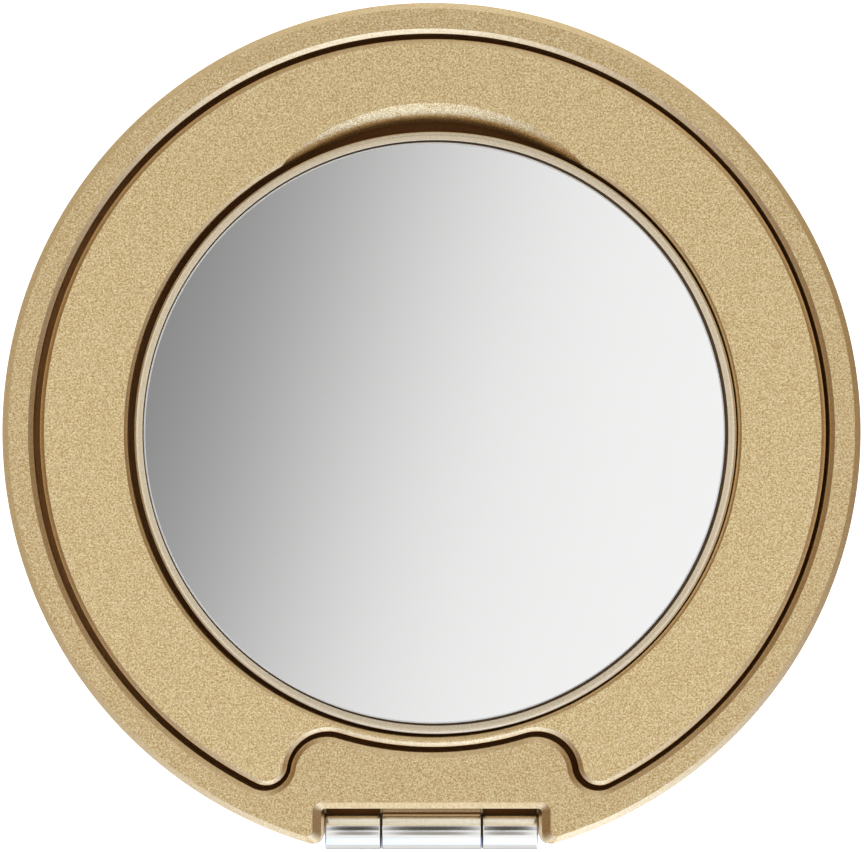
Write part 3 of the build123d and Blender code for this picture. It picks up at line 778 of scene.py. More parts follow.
# ---- Base --------------------------------------------------------------------------------
def build_base_shell():
    outer_profile = rounded([
        (BASE_RADIUS - FOOT_ROUND - 0.3, 0, 0),
        (BASE_RADIUS, 0, FOOT_ROUND),
        (BASE_RADIUS, BASE_TOP, 0.25),
        (BASE_RADIUS - 0.5, BASE_TOP, 0),
    ], steps=12)
    outer = [level(chord_circle(r, BASE_REAR, count=900), z) for r, z in outer_profile]
    inner_profile = [(0, BASE_FLOOR), (0, BASE_TOP - 0.2), (0.06, BASE_TOP - 0.06), (0.2, BASE_TOP)]
    inner = [level(chord_circle(CAVITY_RADIUS + u, CAVITY_REAR + u), z) for u, z in inner_profile]
    shell = ring_solid("base_body", outer, inner, floor=True)
    cuts = [
        hinge_rod("seat", KNUCKLE_RADIUS + 0.01, SIDE_END + 0.01),
        hinge_rod("seat", KNUCKLE_RADIUS + SADDLE_CLEARANCE, SIDE_START - 0.05),
    ]
    for low_x, high_x in ((-SIDE_END - 0.01, -SIDE_START), (SIDE_START, SIDE_END + 0.01)):
        low = (low_x, LEAF_INNER_Y - 0.1, BASE_TOP - LEAF_THICKNESS)
        cuts.append(block("leaf_seat", low, (high_x, LEAF_OUTER_Y, BASE_TOP + 1)))
    relief_profile = rounded([
        (0, RELIEF_BOTTOM, 0),
        (RELIEF_RADIUS, RELIEF_BOTTOM, 0.5),
        (RELIEF_RADIUS, BASE_TOP + 1, 0),
        (0, BASE_TOP + 1, 0),
    ])
    relief_centre = (0, -(BASE_RADIUS + RELIEF_RADIUS - RELIEF_DEPTH))
    cuts.append(lathe("relief", relief_profile, centre=relief_centre))
    cuts += catch_holes(base_catch_low[2] - 0.02, BASE_TOP + 1)
    cuts += shank_holes(BASE_SCREW_X, BASE_TOP - SCREW_LENGTH - 0.04, BASE_TOP + 0.1)
    return combine(shell, cuts)


def build_deck():
    """The tray round the pan: a flat deck, and below it the round wall that holds the pan."""
    under = DECK_TOP - DECK_THICKNESS
    wall = arc(PAN_CENTRE, PAN_WELL_RADIUS + PAN_WELL_WALL, 0, 2 * pi, TURN)
    outer = [level(wall, z) for z in (DECK_BOTTOM, under)]
    for u, z in rounded([(0, under, 0), (0, DECK_TOP, 0.15), (-1, DECK_TOP, 0)])[:-1]:
        outer.append(level(chord_circle(DECK_RADIUS + u, DECK_REAR + u, count=TURN - 1), z))
    mouth = rounded([(0, DECK_BOTTOM, 0), (0, DECK_TOP, 0.5), (1.0, DECK_TOP, 0)], steps=8)[:-1]
    inner = [level(arc(PAN_CENTRE, PAN_WELL_RADIUS + u, 0, 2 * pi, TURN), z) for u, z in mouth]
    return ring_solid("deck_tray", outer, inner, floor=False)


def build_bumpers():
    low, high = bumper_low[2], bumper_high[2]
    corners = [(0, low, 0), (BUMPER_RADIUS, low, 0), (BUMPER_RADIUS, high, 0.45), (0, high, 0)]
    places = [bearing_point(BUMPER_CIRCLE, pi / 4 + i * pi / 2) for i in range(4)]
    return join("soft_bumpers", [lathe("bumper", rounded(corners, 8), at, 96) for at in places])


# ---- Powder and puff ---------------------------------------------------------------------
def build_pan():
    inside = PAN_RADIUS - PAN_WALL
    profile = rounded([
        (0, PAN_BOTTOM, 0),
        (PAN_RADIUS, PAN_BOTTOM, 0.6),
        (PAN_RADIUS, PAN_TOP, 0.15),
        (inside, PAN_TOP, 0.15),
        (inside, PAN_BOTTOM + PAN_WALL, 0.3),
        (0, PAN_BOTTOM + PAN_WALL, 0),
    ])
    return lathe("pan_cup", profile, PAN_CENTRE)


def build_cake():
    """Pressed powder with a softened edge, shallow rings and a faintly uneven surface."""
    corners = [(0, cake_low[2], 0), (CAKE_RADIUS, cake_low[2], 0), (CAKE_RADIUS, CAKE_TOP, 0.3)]
    last = CAKE_RADIUS - 0.4
    # Plain surface runs down to each ring, and from the last one to the middle.
    for ring in (*CAKE_RINGS, None):
        while last > (0.5 if ring is None else ring + 1.1):
            corners.append((last, CAKE_TOP, 0))
            last -= 0.5
        if ring is not None:
            for out, depth in ((0.62, 0), (0.38, RING_DEPTH), (-0.38, RING_DEPTH), (-0.62, 0)):
                corners.append((ring + out, CAKE_TOP - depth, 0.12))
            last = ring - 1.0
    corners.append((0, CAKE_TOP, 0))
    cake = lathe("powder_disc", rounded(corners), PAN_CENTRE, 480)
    for vertex in cake.data.vertices:
        if vertex.co.z > (CAKE_TOP - 0.3) * MM:
            here = vertex.co / MM
            swell = noise.noise(here * 0.55) * 0.6 + noise.noise(here * 2.1) * 0.4
            vertex.co.z += (swell - 0.6) * CAKE_SWELL * MM
    return cake


def vertex_array(mesh):
    """All vertex positions, one to a row."""
    points = np.empty(len(mesh.vertices) * 3)
    mesh.vertices.foreach_get("co", points)
    return points.reshape(-1, 3)


def blow_up(piece):
    """Lets the piece swell for a few frames as cloth under pressure, up to a set distance."""
    before = vertex_array(piece.data)
    cloth = piece.modifiers.new("cloth", "CLOTH")
    cloth.settings.use_pressure = True
    cloth.settings.uniform_pressure_force = 4.0
    cloth.settings.effector_weights.gravity = 0.0
    cloth.settings.tension_stiffness = 20
    cloth.settings.compression_stiffness = 20
    cloth.settings.bending_stiffness = 0.6
    for step in range(1, 21):
        scene.frame_set(step)
    bake(piece)
    scene.frame_set(1)
    move = np.clip(vertex_array(piece.data) - before, -PUFF_SWELL, PUFF_SWELL)
    piece.data.vertices.foreach_set("co", (before + move).ravel())


def build_puff():
    """A stuffed velour puff: blown up as cloth between its top and bottom skins.

    It is simulated at ten times its size, where cloth behaves, and then fitted to its box.
    """
    half_height = (PUFF_TOP - PUFF_BOTTOM) / 2
    start = PUFF_RADIUS * PUFF_START
    profile = [(0, -half_height * PUFF_FLATNESS)]
    for i in range(1, 25):
        angle = -pi / 2 + pi * i / 25
        profile.append((start * cos(angle) ** PUFF_SQUARENESS, half_height * PUFF_FLATNESS * sin(angle)))
    profile.append((0, half_height * PUFF_FLATNESS))
    large = [(r * PUFF_SCALE, z * PUFF_SCALE) for r, z in profile]
    puff = lathe("puff_velour", large, segments=96)
    voxel = puff.modifiers.new("voxels", "REMESH")
    voxel.mode = "VOXEL"
    voxel.voxel_size = PUFF_VOXEL
    bake(puff)
    blow_up(puff)
    smooth = puff.modifiers.new("smooth", "SUBSURF")
    smooth.levels = 1
    bake(puff)
    points = vertex_array(puff.data) / PUFF_SCALE / MM
    reach = np.hypot(points[:, 0], points[:, 1])
    points[:, :2] *= PUFF_RADIUS / reach.max()
    reach *= PUFF_RADIUS / reach.max()
    thick = np.abs(points[:, 2]).max()
    points[:, 2] *= half_height / thick
    # The seam round the edge pulls the skins together in small regular puckers.
    bearing = np.arctan2(points[:, 1], points[:, 0])
    near_seam = np.clip((reach - PUFF_RADIUS + PUCKER_REACH) / PUCKER_REACH, 0, 1) ** 2
    points[:, 2] *= 1 - PUCKER_DEPTH * near_seam * (0.5 + 0.5 * np.cos(bearing * PUCKERS))
    points[:, 2] += (PUFF_TOP + PUFF_BOTTOM) / 2
    points[:, :2] += PAN_CENTRE
    puff.data.vertices.foreach_set("co", (points * MM).ravel())
    puff.data.update()
    return puff


def surface_height(piece, x, y, radius=0.9):
    """The piece's highest point near a place, in millimetres."""
    here = [
        v.co.z / MM
        for v in piece.data.vertices
        if hypot(v.co.x / MM - x, v.co.y / MM - y) < radius
    ]
    return max(here)


def ribbon_heights(puff, places_x):
    """The band's height along its length: it follows the puff, and rises between its ends."""
    stations = np.linspace(-RIBBON_HALF_LENGTH, RIBBON_HALF_LENGTH, 61)
    heights = [surface_height(puff, PAN_CENTRE[0] + x, PAN_CENTRE[1]) for x in stations]
    heights = np.convolve(np.pad(heights, 3, mode="edge"), np.ones(7) / 7, mode="valid")
    heights += RIBBON_GAP + RIBBON_RISE * np.sin(np.linspace(0.0, 3.14, 61)) ** 0.5
    return np.interp(places_x, stations, heights)


def ribbon_relief(x, y, share):
    """The band's wavy slack at a point, and how deep its stitched seams dip there."""
    from_seam = (abs(x) - (RIBBON_HALF_LENGTH - RIBBON_SEAM_INSET)) / RIBBON_SEAM_WIDTH
    stitch = 0.5 + 0.5 * cos(2 * pi * y / RIBBON_STITCH)
    dip = RIBBON_SEAM_DEPTH * exp(-(from_seam**2)) * (0.35 + 0.65 * stitch)
    return 0.02 * sin(x * 1.1 + share * 2.0) + 0.012 * sin(x * 0.7 - share * 4.0), dip


def build_ribbon(puff):
    """A satin band over the puff, sewn down at both ends and raised a little in between."""
    rows, columns = RIBBON_GRID
    places_x = np.linspace(-RIBBON_HALF_LENGTH, RIBBON_HALF_LENGTH, rows)
    middle = ribbon_heights(puff, places_x)
    vertices = []
    for side in (RIBBON_HALF_THICK, -RIBBON_HALF_THICK):
        for x, z in zip(places_x, middle):
            half_width = RIBBON_HALF_WIDTH - RIBBON_NARROWING * (x / RIBBON_HALF_LENGTH) ** 2
            for share in np.linspace(-1.0, 1.0, columns):
                y = share * half_width
                hem = RIBBON_HEM if side > 0 and abs(share) > 0.9 else 0.0
                slack, dip = ribbon_relief(x, y, share)
                vertices.append((x, PAN_CENTRE[1] + y, z + side + hem + slack - dip))
    layer = rows * columns
    faces = []
    for i in range(rows - 1):
        for j in range(columns - 1):
            a = i * columns + j
            faces.append((a, a + 1, a + columns + 1, a + columns))
            a += layer
            faces.append((a, a + columns, a + columns + 1, a + 1))
    # The edges between the two layers: along both sides, and across both ends.
    for i in range(rows - 1):
        for a in (i * columns, i * columns + columns - 1):
            faces.append((a, a + columns, a + columns + layer, a + layer))
    for j in range(columns - 1):
        for a in (j, (rows - 1) * columns + j):
            faces.append((a, a + 1, a + 1 + layer, a + layer))
    return make_object("puff_band", vertices, faces)


# ---- Materials --------------------------------------------------------------------------
def feed(tree, socket, value):
    """Links an output to an input, or sets the input's own value."""
    if isinstance(value, bpy.types.NodeSocket):
        tree.links.new(value, socket)
    elif socket.type == "RGBA":
        socket.default_value = (*value, 1)
    else:
        socket.default_value = value


def add(tree, kind, *inputs, **values):
    """A node with its first inputs given in order, and other inputs or settings by name."""
    node = tree.nodes.new("ShaderNode" + kind)
    for key, value in values.items():
        label = key.replace("_", " ")
        if label in node.inputs:
            feed(tree, node.inputs[label], value)
        else:
            setattr(node, key, value)
    for socket, value in zip(node.inputs, inputs):
        feed(tree, socket, value)
    return node


def maths(tree, operation, *inputs):
    return add(tree, "Math", *inputs, operation=operation).outputs[0]


def vectors(tree, operation, *inputs, **values):
    return add(tree, "VectorMath", *inputs, operation=operation, **values).outputs[0]


def mapped(tree, value, *limits, **settings):
    """A value carried over from one range to another, which is 0 to 1 if it isn't given."""
    return add(tree, "MapRange", value, *limits, **settings).outputs["Result"]


def mixed(tree, share, first, second, kind="RGBA", **settings):
    """What lies between two colours, or two numbers where the kind is FLOAT."""
    first_input, second_input, output = {"RGBA": (6, 7, 2), "FLOAT": (2, 3, 0)}[kind]
    node = add(tree, "Mix", share, data_type=kind, **settings)
    feed(tree, node.inputs[first_input], first)
    feed(tree, node.inputs[second_input], second)
    return node.outputs[output]


def speckle(tree, spot, scale, detail=0.0, roughness=0.5):
    noise_node = add(tree, "TexNoise", spot, Scale=scale, Detail=detail, Roughness=roughness)
    return noise_node.outputs["Fac"]


def new_material(name, **finish):
    """A material with its shader's own inputs given by name."""
    material = bpy.data.materials.new(name)
    material.use_nodes = True
    tree = material.node_tree
    shader = tree.nodes["Principled BSDF"]
    for key, value in finish.items():
        feed(tree, shader.inputs[key.replace("_", " ")], value)
    return material, tree, shader


def raise_surface(tree, shader, height, strength, distance):
    bump = add(tree, "Bump", Strength=strength, Distance=distance, Height=height)
    feed(tree, shader.inputs["Normal"], bump.outputs["Normal"])


def grain_colours(colour, depth):
    """A darker, deeper and a lighter, paler version of a colour."""
    dark = [c * (1 - depth * k) for c, k in zip(colour, (0.93, 1.42, 1.95))]
    light = [c * (1 + depth * k) for c, k in zip(colour, (0.98, 1.52, 2.1))]
    return dark, light


# Where the painted glints are sampled, and their colour.
PAINTED_GLINT_SHIFT = (0.31, 0.17, 0.05)
PAINTED_GLINT_COLOUR = (1.0, 0.93, 0.72)


def speckled_metal(name, colour, roughness, grain, depth, bump=0.0, painted_glint=0.0):
    """Bead-blasted metal: fine light and dark grains with a matching uneven surface, and, if asked,
    sparse pale points as painted glints.
    """
    material, tree, shader = new_material(
        name, Base_Color=colour, Metallic=1.0, Roughness=roughness
    )
    spot = add(tree, "TexCoord").outputs["Object"]
    grains = speckle(tree, spot, grain)
    # The noise mostly runs from 0.2 to 0.8.
    spread = mapped(tree, grains, 0.2, 0.8, clamp=False)
    result = mixed(tree, spread, *grain_colours(colour, depth), clamp_factor=False)
    # Painted glints: sparse pale points mixed into the colour.
    if painted_glint:
        points = speckle(tree, vectors(tree, "ADD", spot, PAINTED_GLINT_SHIFT), grain * 0.8)
        peaks = mapped(tree, points, 0.66, 0.84, 0.0, painted_glint)
        result = mixed(tree, peaks, result, PAINTED_GLINT_COLOUR)
    feed(tree, shader.inputs["Base Color"], result)
    if bump:
        raise_surface(tree, shader, grains, bump, 2e-5)
    return material


def painted_shade_material(name, colour, painted_light_colour, start, end):
    """Painted shade for the floor of a narrow gap: dark, and paler towards one side of the object as
    painted light.
    """
    material, tree, shader = new_material(
        name, Base_Color=colour, Metallic=0.0, Roughness=0.7, Specular_IOR_Level=0.1
    )
    spot = add(tree, "TexCoord").outputs["Object"]
    across = add(tree, "SeparateXYZ", spot).outputs["X"]
    # Painted light: the colour turns paler from start to end along X.
    side = mapped(tree, across, start, end, interpolation_type="SMOOTHSTEP")
    mottle = mapped(tree, speckle(tree, spot, 6000.0, 1.0), 0.0, 1.0, 0.75, 1.25)
    tint = mixed(tree, side, colour, painted_light_colour)
    feed(tree, shader.inputs["Base Color"], vectors(tree, "SCALE", tint, Scale=mottle))
    return material


def grained(
    name, dark, light, roughness, scales, bump=0.0, distance=1e-5, metallic=0.0, stretch=1.0, **finish
):
    """A surface with fine and coarse mottling in colour, and the fine one in height too.

    A stretch under 1 draws the mottling out into streaks along X.
    """
    material, tree, shader = new_material(
        name, Base_Color=light, Metallic=metallic, Roughness=roughness, **finish
    )
    spot = add(tree, "TexCoord").outputs["Object"]
    drawn = vectors(tree, "MULTIPLY", spot, (stretch, 1.0, 1.0))
    fine = speckle(tree, drawn, scales[0], 3.0, 0.6)
    broad = speckle(tree, drawn, scales[1], 2.0)
    spread = mapped(tree, maths(tree, "ADD", fine, broad), 0.7, 1.3)
    feed(tree, shader.inputs["Base Color"], mixed(tree, spread, dark, light))
    if bump:
        raise_surface(tree, shader, fine, bump, distance)
    return material


def woven(name, dark, light, threads, roughness, sheen):
    """A satin weave: fine floats along the band, crossed by broader ribs."""
    material, tree, shader = new_material(
        name, Base_Color=light, Roughness=roughness, Sheen_Weight=sheen, Sheen_Roughness=0.3
    )
    spot = add(tree, "TexCoord").outputs["Object"]
    waves = []
    for direction, scale, distortion in (("Y", threads, 0.5), ("X", threads * 0.4, 0.3)):
        wave = add(tree, "TexWave", spot, scale, distortion, 1.0, bands_direction=direction)
        waves.append(wave.outputs["Fac"])
    weave = mixed(tree, 0.6, *waves, "FLOAT")
    blend = mixed(tree, 0.3, weave, speckle(tree, spot, 260.0, 2.0), "FLOAT")
    feed(tree, shader.inputs["Base Color"], mixed(tree, blend, dark, light))
    raise_surface(tree, shader, weave, 0.45, 4e-5)
    return material


gold = speckled_metal("gold_blasted", (0.700, 0.525, 0.276), 0.42, 7600.0, 0.29, 0.35, 0.5)
gold_inlay = speckled_metal("gold_inlay", (0.760, 0.580, 0.306), 0.42, 7600.0, 0.29, 0.35, 0.5)
gold_bevel = speckled_metal("gold_bevel", (0.80, 0.60, 0.325), 0.28, 5000.0, 0.10)
gold_wall = speckled_metal("gold_notch_side", (0.55, 0.49, 0.38), 0.25, 5000.0, 0.08)
gold_rear = speckled_metal("gold_notch_rear", (0.78, 0.61, 0.36), 0.25, 5000.0, 0.08)
# Darker gold: painted shade on the lug's top, deep in the notch.
gold_lug_painted_shade = speckled_metal("gold_lug_painted_shade", (0.40, 0.28, 0.16), 0.4, 7600.0, 0.2)
# Dark painted shade on the knuckles' facing ends, in the narrow gaps between them.
knuckle_end_painted_shade = speckled_metal("knuckle_end_painted_shade", (0.20, 0.16, 0.12), 0.4, 7000.0, 0.15)
champagne = speckled_metal("champagne_satin", (0.76, 0.65, 0.47), 0.36, 5000.0, 0.06)
# Dark gold-brown painted shade for floors and strips deep in gaps, with painted light towards +X.
gold_painted_shade = painted_shade_material(
    "gold_painted_shade", (0.13, 0.055, 0.016), (0.46, 0.25, 0.10), 20 * MM, 36 * MM
)
# Brown painted shade for the bezel's inner wall and floor round the glass, paler towards +X as painted
# light.
glass_rim_painted_shade = painted_shade_material(
    "glass_rim_painted_shade", (0.42, 0.29, 0.17), (0.50, 0.36, 0.22), 20 * MM, 26 * MM
)
steel = grained(
    "polished_steel", (0.77, 0.76, 0.74), (0.89, 0.88, 0.86), 0.16, (5200, 900), 0.05, 2e-6, 1.0, 0.04
)
silver = grained(
    "mirror_silver", (0.980, 0.986, 0.975), (0.990, 0.994, 0.985), 0.0, (300, 60), metallic=1.0
)
ground_glass = grained(
    "ground_glass_edge", (0.90, 0.92, 0.91), (0.98, 0.99, 0.98), 0.5, (9000, 1500), 0.2
)
plastic = grained(
    "dark_moulding", (0.030, 0.021, 0.016), (0.042, 0.030, 0.023), 0.46, (3600, 500), 0.4, 3e-5
)
nickel = grained(
    "magnet_nickel", (0.50, 0.49, 0.46), (0.70, 0.68, 0.64), 0.25, (1800, 250), 0.1, metallic=1.0
)
screw_steel = grained(
    "screw_steel", (0.42, 0.42, 0.42), (0.60, 0.60, 0.59), 0.32, (3000, 400), 0.2, metallic=1.0
)
tin = grained(
    "pan_tin", (0.62, 0.62, 0.61), (0.78, 0.78, 0.77), 0.28, (2200, 200), 0.1, metallic=1.0
)
film = grained(
    "adhesive_film", (0.60, 0.58, 0.53), (0.76, 0.74, 0.70), 0.4, (900, 120), 0.2, 2e-5
)
powder = grained(
    "pressed_powder", (0.60, 0.40, 0.28), (0.72, 0.50, 0.37), 0.9, (5200, 420), 0.7, 5e-5,
    Specular_IOR_Level=0.2,
)
velour = grained(
    "puff_velour", (0.74, 0.59, 0.47), (0.83, 0.69, 0.56), 0.95, (5200, 1500), 1.0, 1.1e-4,
    Sheen_Weight=0.6, Sheen_Roughness=0.5,
)
satin = woven("puff_satin", (0.44, 0.31, 0.19), (0.80, 0.64, 0.45), 1500.0, 0.3, 0.3)
thread = grained(
    "puff_thread", (0.30, 0.20, 0.12), (0.46, 0.33, 0.22), 0.7, (7000, 1500), 0.4, 3e-5
)
rubber = grained(
    "clear_rubber", (0.70, 0.70, 0.68), (0.84, 0.84, 0.82), 0.25, (1500, 300), 0.1,
    Transmission_Weight=0.75, IOR=1.41,
)


# ---- Pieces on their bodies --------------------------------------------------------------
# The pocket's floor, seen down the shadow gap, which gets painted shade.
def on_pocket_floor(at, up):
    return up.z > 0.9 and abs(at.z - POCKET_FLOOR) < 0.05


def on_notch_side(at, up):
    return abs(up.z) < 0.1 and abs(up.x) > 0.5 and abs(at.x) < NOTCH_MOUTH[0] and at.y > NOTCH_FACES[0]


def on_notch_rear(at, up):
    within = abs(at.x) < NOTCH_MOUTH[0] and NOTCH_FACES[0] < at.y < NOTCH_FACES[1]
    return within and up.y > 0.5 and abs(up.z) < 0.3


# The lug's top face, which gets darker painted shade.
def on_lug(at, up):
    return up.z > 0.9 and abs(at.x) < CENTRE_HALF and NOTCH_WALL[1] < at.y and at.z < LID_BOTTOM + 1


def on_lug_shadow_line(at, up):
    return on_lug(at, up) and LUG_SHADOW_LINE[0] < at.y < LUG_SHADOW_LINE[1]


def on_lug_painted_highlight(at, up):
    return on_lug(at, up) and at.y > LUG_SHADOW_LINE[1]


# The bezel's faces round the glass, which get painted shade.
def on_bezel_gap(at, up):
    reach = hypot(at.x - MIRROR_CENTRE[0], at.y - MIRROR_CENTRE[1])
    return GLASS_BOTTOM - 0.2 < at.z < GLASS_TOP - 0.1 and reach < BEZEL_INNER + 0.05


def on_barrel_end(at, up):
    return abs(up.x) > 0.35 and abs(at.x) < BARREL_ENDS


def on_shaded_leaf(at, up):
    return LEAF_SHADE_Y < at.y < HINGE_Y - KNUCKLE_RADIUS - 0.01


def on_stitch(at, up):
    from_seam = abs(abs(at.x) - (RIBBON_HALF_LENGTH - RIBBON_SEAM_INSET))
    along = cos(2 * pi * (at.y - PAN_CENTRE[1]) / RIBBON_STITCH)
    return up.z > 0.5 and from_seam < RIBBON_SEAM_WIDTH / 2 and along > 0.1


def place(piece, body, node, material, angle=35.0, bevel=None):
    """Shades and paints a piece, puts it on its body and hides the CAD node that it stands for."""
    shade(piece, angle)
    paint(piece, material, bevel)
    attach(piece, body)
    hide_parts(node)
    return piece


lid_rim = build_lid_shell()
# The lug's top is split where its painted shadow line and painted highlight begin.
for line_y in LUG_SHADOW_LINE:
    cut_across(lid_rim, line_y, on_lug)
place(lid_rim, "lid", "lid_shell", gold, bevel=gold_bevel)
for material, test in (
    # Painted shade on the pocket floor.
    (gold_painted_shade, on_pocket_floor),
    (gold_wall, on_notch_side),
    (gold_rear, on_notch_rear),
    # Painted shade on the lug's top.
    (gold_lug_painted_shade, on_lug),
    # The lug's far strip gets the bevel's brighter gold as a painted highlight.
    (gold_bevel, on_lug_painted_highlight),
    # A painted shadow line across the lug, by the barrel.
    (gold_painted_shade, on_lug_shadow_line),
):
    paint_where(lid_rim, material, test)
place(build_inlay_plate(), "lid", "inlay_plate", gold_inlay, bevel=gold_bevel)
bezel, mirror_plate = build_mirror()
place(bezel, "mirror_disc", "mirror_tray", champagne, 50)
# Painted shade round the glass's edge.
paint_where(bezel, glass_rim_painted_shade, on_bezel_gap)
place(
    mirror_plate, "mirror_disc", "mirror_glass", silver, bevel=ground_glass
)

lid_screws = [(x, LID_BOTTOM, LID_BOTTOM + SCREW_LENGTH) for x in (-LID_SCREW_X, LID_SCREW_X)]
left_screws = [(-BASE_SCREW_X, BASE_TOP, BASE_TOP - SCREW_LENGTH)]
right_screws = [(BASE_SCREW_X, BASE_TOP, BASE_TOP - SCREW_LENGTH)]
base_leaf = BASE_TOP - LEAF_THICKNESS
centre_end = CENTRE_HALF + KNUCKLE_EASE
side_start = SIDE_START - KNUCKLE_EASE
for side, x_low, x_high, leaf_low, bore, screws, body in (
    ("centre", -centre_end, centre_end, LID_BOTTOM, PIN_RADIUS + 0.05, lid_screws, "lid"),
    ("left", -SIDE_END, -side_start, base_leaf, PIN_RADIUS, left_screws, "base"),
    ("right", side_start, SIDE_END, base_leaf, PIN_RADIUS, right_screws, "base"),
):
    knuckle = build_knuckle(side + "_barrel", x_low, x_high, leaf_low, bore, screws)
    place(knuckle, body, "hinge_" + side + "_knuckle", steel)
    # The knuckles' facing ends get painted shade.
    paint_where(knuckle, knuckle_end_painted_shade, on_barrel_end)
    if body == "base":
        # The strip of leaf seen through the notch gets painted shade.
        paint_where(knuckle, gold_painted_shade, on_shaded_leaf)
place(build_pin(), "base", "hinge_pin", steel)
place(
    build_screws("lid_screw_pair", LID_SCREW_X, LID_BOTTOM, LID_BOTTOM + SCREW_LENGTH),
    "lid", "lid_hinge_screws", screw_steel,
)
place(
    build_screws("base_screw_pair", BASE_SCREW_X, BASE_TOP, BASE_TOP - SCREW_LENGTH),
    "base", "base_hinge_screws", screw_steel,
)

place(build_liner(), "lid", "lid_liner", plastic)
place(
    catch_discs("lid_catches", lid_catch_low[2], lid_catch_high[2]),
    "lid", "lid_latch_magnets", nickel,
)
place(build_mirror_magnets(), "lid", "mirror_magnets", nickel)
place(build_keeper(), "mirror_disc", "mirror_keeper", screw_steel)

place(build_base_shell(), "base", "base_shell", gold)
place(build_deck(), "base", "base_deck", plastic)
place(
    catch_discs("base_catches", base_catch_low[2], base_catch_high[2]),
    "base", "base_latch_magnets", nickel,
)
place(build_bumpers(), "base", "closing_bumpers", rubber, 60)
place(build_pan(), "base", "powder_pan", tin)
place(build_cake(), "base", "powder_cake", powder, 60)
puff = place(build_puff(), "base", "puff_pad", velour, 80)
band = place(build_ribbon(puff), "base", "puff_ribbon", satin, 50)
paint_where(band, thread, on_stitch)
for node in ("inlay_adhesive", "mirror_adhesive", "pan_pad"):
    paint(frame["nodes"][node], film)

# ---- Stage, in metres --------------------------------------------------------------------
FLOOR_HALF = 4.0
# A hair below the object's foot, so that the two surfaces don't coincide.
FLOOR_Z = -0.02 * MM
FLOOR_GLOW = 0.95
CARD_Z = 1.2
CARD_HALF = 1.25
CARD_GLOW = 1.13
CAMERA_HEIGHT = 0.5
# The mirror's picture: grey to white in a smooth step along a line a little off the X axis.
MIRROR_EDGE = 24 * MM
STEP_TILT = -0.29
STEP_CENTRE = -0.387
STEP_WIDTH = 0.333
STEP_LOW = 0.172
STEP_RISE = 0.733
# Level cards: name, X, Y, Z, strength and colour. The first three darken parts of the overhead
# card, and the last lights the object from below.
CARDS = (
    ("camera_shadow", (-0.2, 0.2), (-0.60, -0.086), 1.19, 0.04, (1.0, 0.85, 0.65)),
    ("camera_shadow_edge", (-0.2, 0.2), (-0.80, -0.60), 1.19, 0.3, (1.0, 0.92, 0.8)),
    ("grey_gap", (-0.16, 0.16), (0.086, 0.55), 1.19, 0.36, (1.0, 0.93, 0.85)),
    ("under_card", (-1.2, 1.2), (-1.0, 1.0), -1.35, 0.85, (1.0, 1.0, 1.0)),
)
# The surround's lamps: the direction each lies in, how narrow it is, and its colour. A strong
# cool one stands behind the hinge, and a softer one at the front.
LAMPS = (
    (radians(-8.0), 4.2, (1.08, 1.42, 2.15)),
    (radians(190.0), 3.8, (0.46, 0.54, 0.62)),
)


def glowing(name, corners, faces):
    """A surface that gives light and that the camera doesn't see."""
    surface = add_object(name, corners, faces)
    material = bpy.data.materials.new(name)
    material.use_nodes = True
    tree = material.node_tree
    tree.nodes.clear()
    glow = add(tree, "Emission", Strength=1.0)
    add(tree, "OutputMaterial", Surface=glow.outputs[0])
    surface.data.materials.append(material)
    surface.visible_camera = False
    return tree, glow


def card(name, corners, strength, colour=(1.0, 1.0, 1.0)):
    tree, glow = glowing(name, corners, [(0, 1, 2, 3)])
    feed(tree, glow.inputs["Strength"], strength)
    feed(tree, glow.inputs["Color"], colour)


def overhead_card():
    """The card that the mirror shows: graded in the middle, and even farther out."""
    corners = [(x * CARD_HALF, y * CARD_HALF, CARD_Z) for x, y in ((-1, -1), (-1, 1), (1, 1), (1, -1))]
    tree, glow = glowing("overhead_card", corners, [(0, 1, 2, 3)])
    spot = add(tree, "TexCoord").outputs["Object"]
    x, y, _ = add(tree, "SeparateXYZ", spot).outputs
    reach = MIRROR_EDGE * (1 + (CARD_Z - LID_TOP * MM) / CAMERA_HEIGHT)
    along = maths(tree, "MULTIPLY", x, -cos(STEP_TILT) / reach)
    along = maths(tree, "MULTIPLY_ADD", y, -sin(STEP_TILT) / reach, along)
    # 1 / (1 + exp(-(along - centre) / width))
    shifted = maths(tree, "MULTIPLY_ADD", along, -1 / STEP_WIDTH, STEP_CENTRE / STEP_WIDTH)
    divisor = maths(tree, "ADD", maths(tree, "EXPONENT", shifted), 1.0)
    graded = maths(tree, "ADD", maths(tree, "DIVIDE", STEP_RISE, divisor), STEP_LOW)
    distance = add(tree, "VectorMath", spot, operation="LENGTH").outputs["Value"]
    outside = maths(tree, "GREATER_THAN", distance, CARD_Z + 0.004)
    feed(tree, glow.inputs["Strength"], mixed(tree, outside, graded, CARD_GLOW, "FLOAT"))


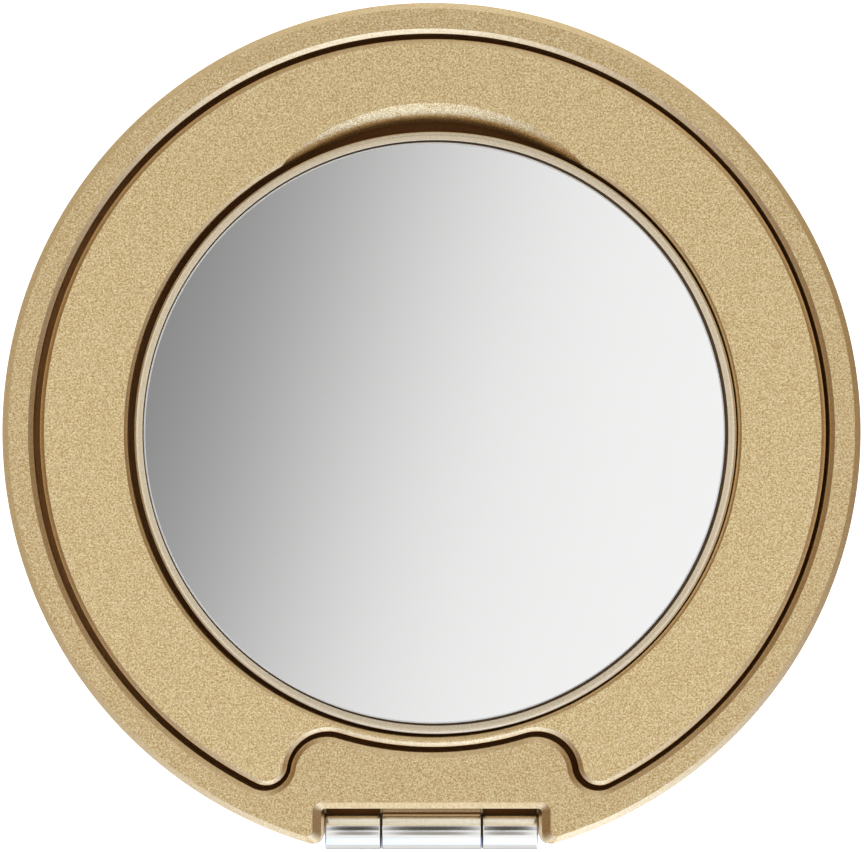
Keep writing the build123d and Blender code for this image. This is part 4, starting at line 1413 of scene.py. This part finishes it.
def surround(name, radius, low, high):
    """A round wall of light: a warm glow, whiter low down, to which the lamps are added."""
    count = 96
    ring = [bearing_point(radius, 2 * pi * i / count) for i in range(count)]
    corners = [(x, y, z) for z in (low, high) for x, y in ring]
    faces = [(i, (i + 1) % count, count + (i + 1) % count, count + i) for i in range(count)]
    tree, glow = glowing(name, corners, faces)
    spot = add(tree, "TexCoord").outputs["Object"]
    x, _, z = add(tree, "SeparateXYZ", spot).outputs
    toward = vectors(tree, "NORMALIZE", vectors(tree, "MULTIPLY", spot, (1, 1, 0)))
    low_glow = mixed(tree, mapped(tree, x, -radius, radius), (0.35, 0.27, 0.17), (0.57, 0.53, 0.46))
    raised = mapped(tree, z, -0.25, 0.25, interpolation_type="SMOOTHSTEP")
    result = mixed(tree, raised, low_glow, (0.235, 0.155, 0.085))
    for bearing, narrow, colour in LAMPS:
        direction = (sin(bearing), cos(bearing), 0)
        facing = add(tree, "VectorMath", toward, direction, operation="DOT_PRODUCT").outputs["Value"]
        fall = maths(tree, "EXPONENT", maths(tree, "MULTIPLY_ADD", facing, narrow, -narrow))
        result = vectors(tree, "ADD", result, vectors(tree, "SCALE", colour, Scale=fall))
    feed(tree, glow.inputs["Color"], result)


floor = add_object(
    "floor",
    [(x * FLOOR_HALF, y * FLOOR_HALF, FLOOR_Z) for x, y in ((-1, -1), (1, -1), (1, 1), (-1, 1))],
    [(0, 1, 2, 3)],
)
paper, _, _ = new_material(
    "floor_paper",
    Base_Color=(0.9, 0.9, 0.9),
    Metallic=0.0,
    Roughness=0.8,
    Emission_Color=(1.0, 1.0, 1.0),
    Emission_Strength=FLOOR_GLOW,
)
floor.data.materials.append(paper)
floor.visible_glossy = False
overhead_card()
for name, (x0, x1), (y0, y1), z, strength, colour in CARDS:
    card(name, [(x0, y0, z), (x0, y1, z), (x1, y1, z), (x1, y0, z)], strength, colour)
card(
    "low_rear_card",
    [(-0.3, 1.15, -1.2), (0.3, 1.15, -1.2), (0.3, 1.15, -0.02), (-0.3, 1.15, -0.02)],
    0.93,
)
surround("surround_light", 1.25, -1.3, 1.195)

world = bpy.data.worlds.new("studio")
world.use_nodes = True
background = world.node_tree.nodes["Background"]
background.inputs["Color"].default_value = (1, 0.85, 0.63, 1)
background.inputs["Strength"].default_value = 0.27
scene.world = world

# ---- Camera ------------------------------------------------------------------------------
FRAME_WIDTH = 2 * LID_RADIUS * 1.0046512
CAMERA_SHIFT = (-0.043, -0.516)
SENSOR = 36.0
camera_data = bpy.data.cameras.new("camera")
camera = bpy.data.objects.new("camera", camera_data)
scene.collection.objects.link(camera)
scene.camera = camera
camera_data.sensor_width = SENSOR
camera_data.lens = SENSOR * CAMERA_HEIGHT / (FRAME_WIDTH * MM)
camera_data.clip_start = 0.05
camera_data.clip_end = 20.0
camera.location = (CAMERA_SHIFT[0] * MM, CAMERA_SHIFT[1] * MM, LID_TOP * MM + CAMERA_HEIGHT)
camera.rotation_euler = (0, 0, pi)
scene.view_settings.view_transform = "Standard"
scene.view_settings.look = "None"
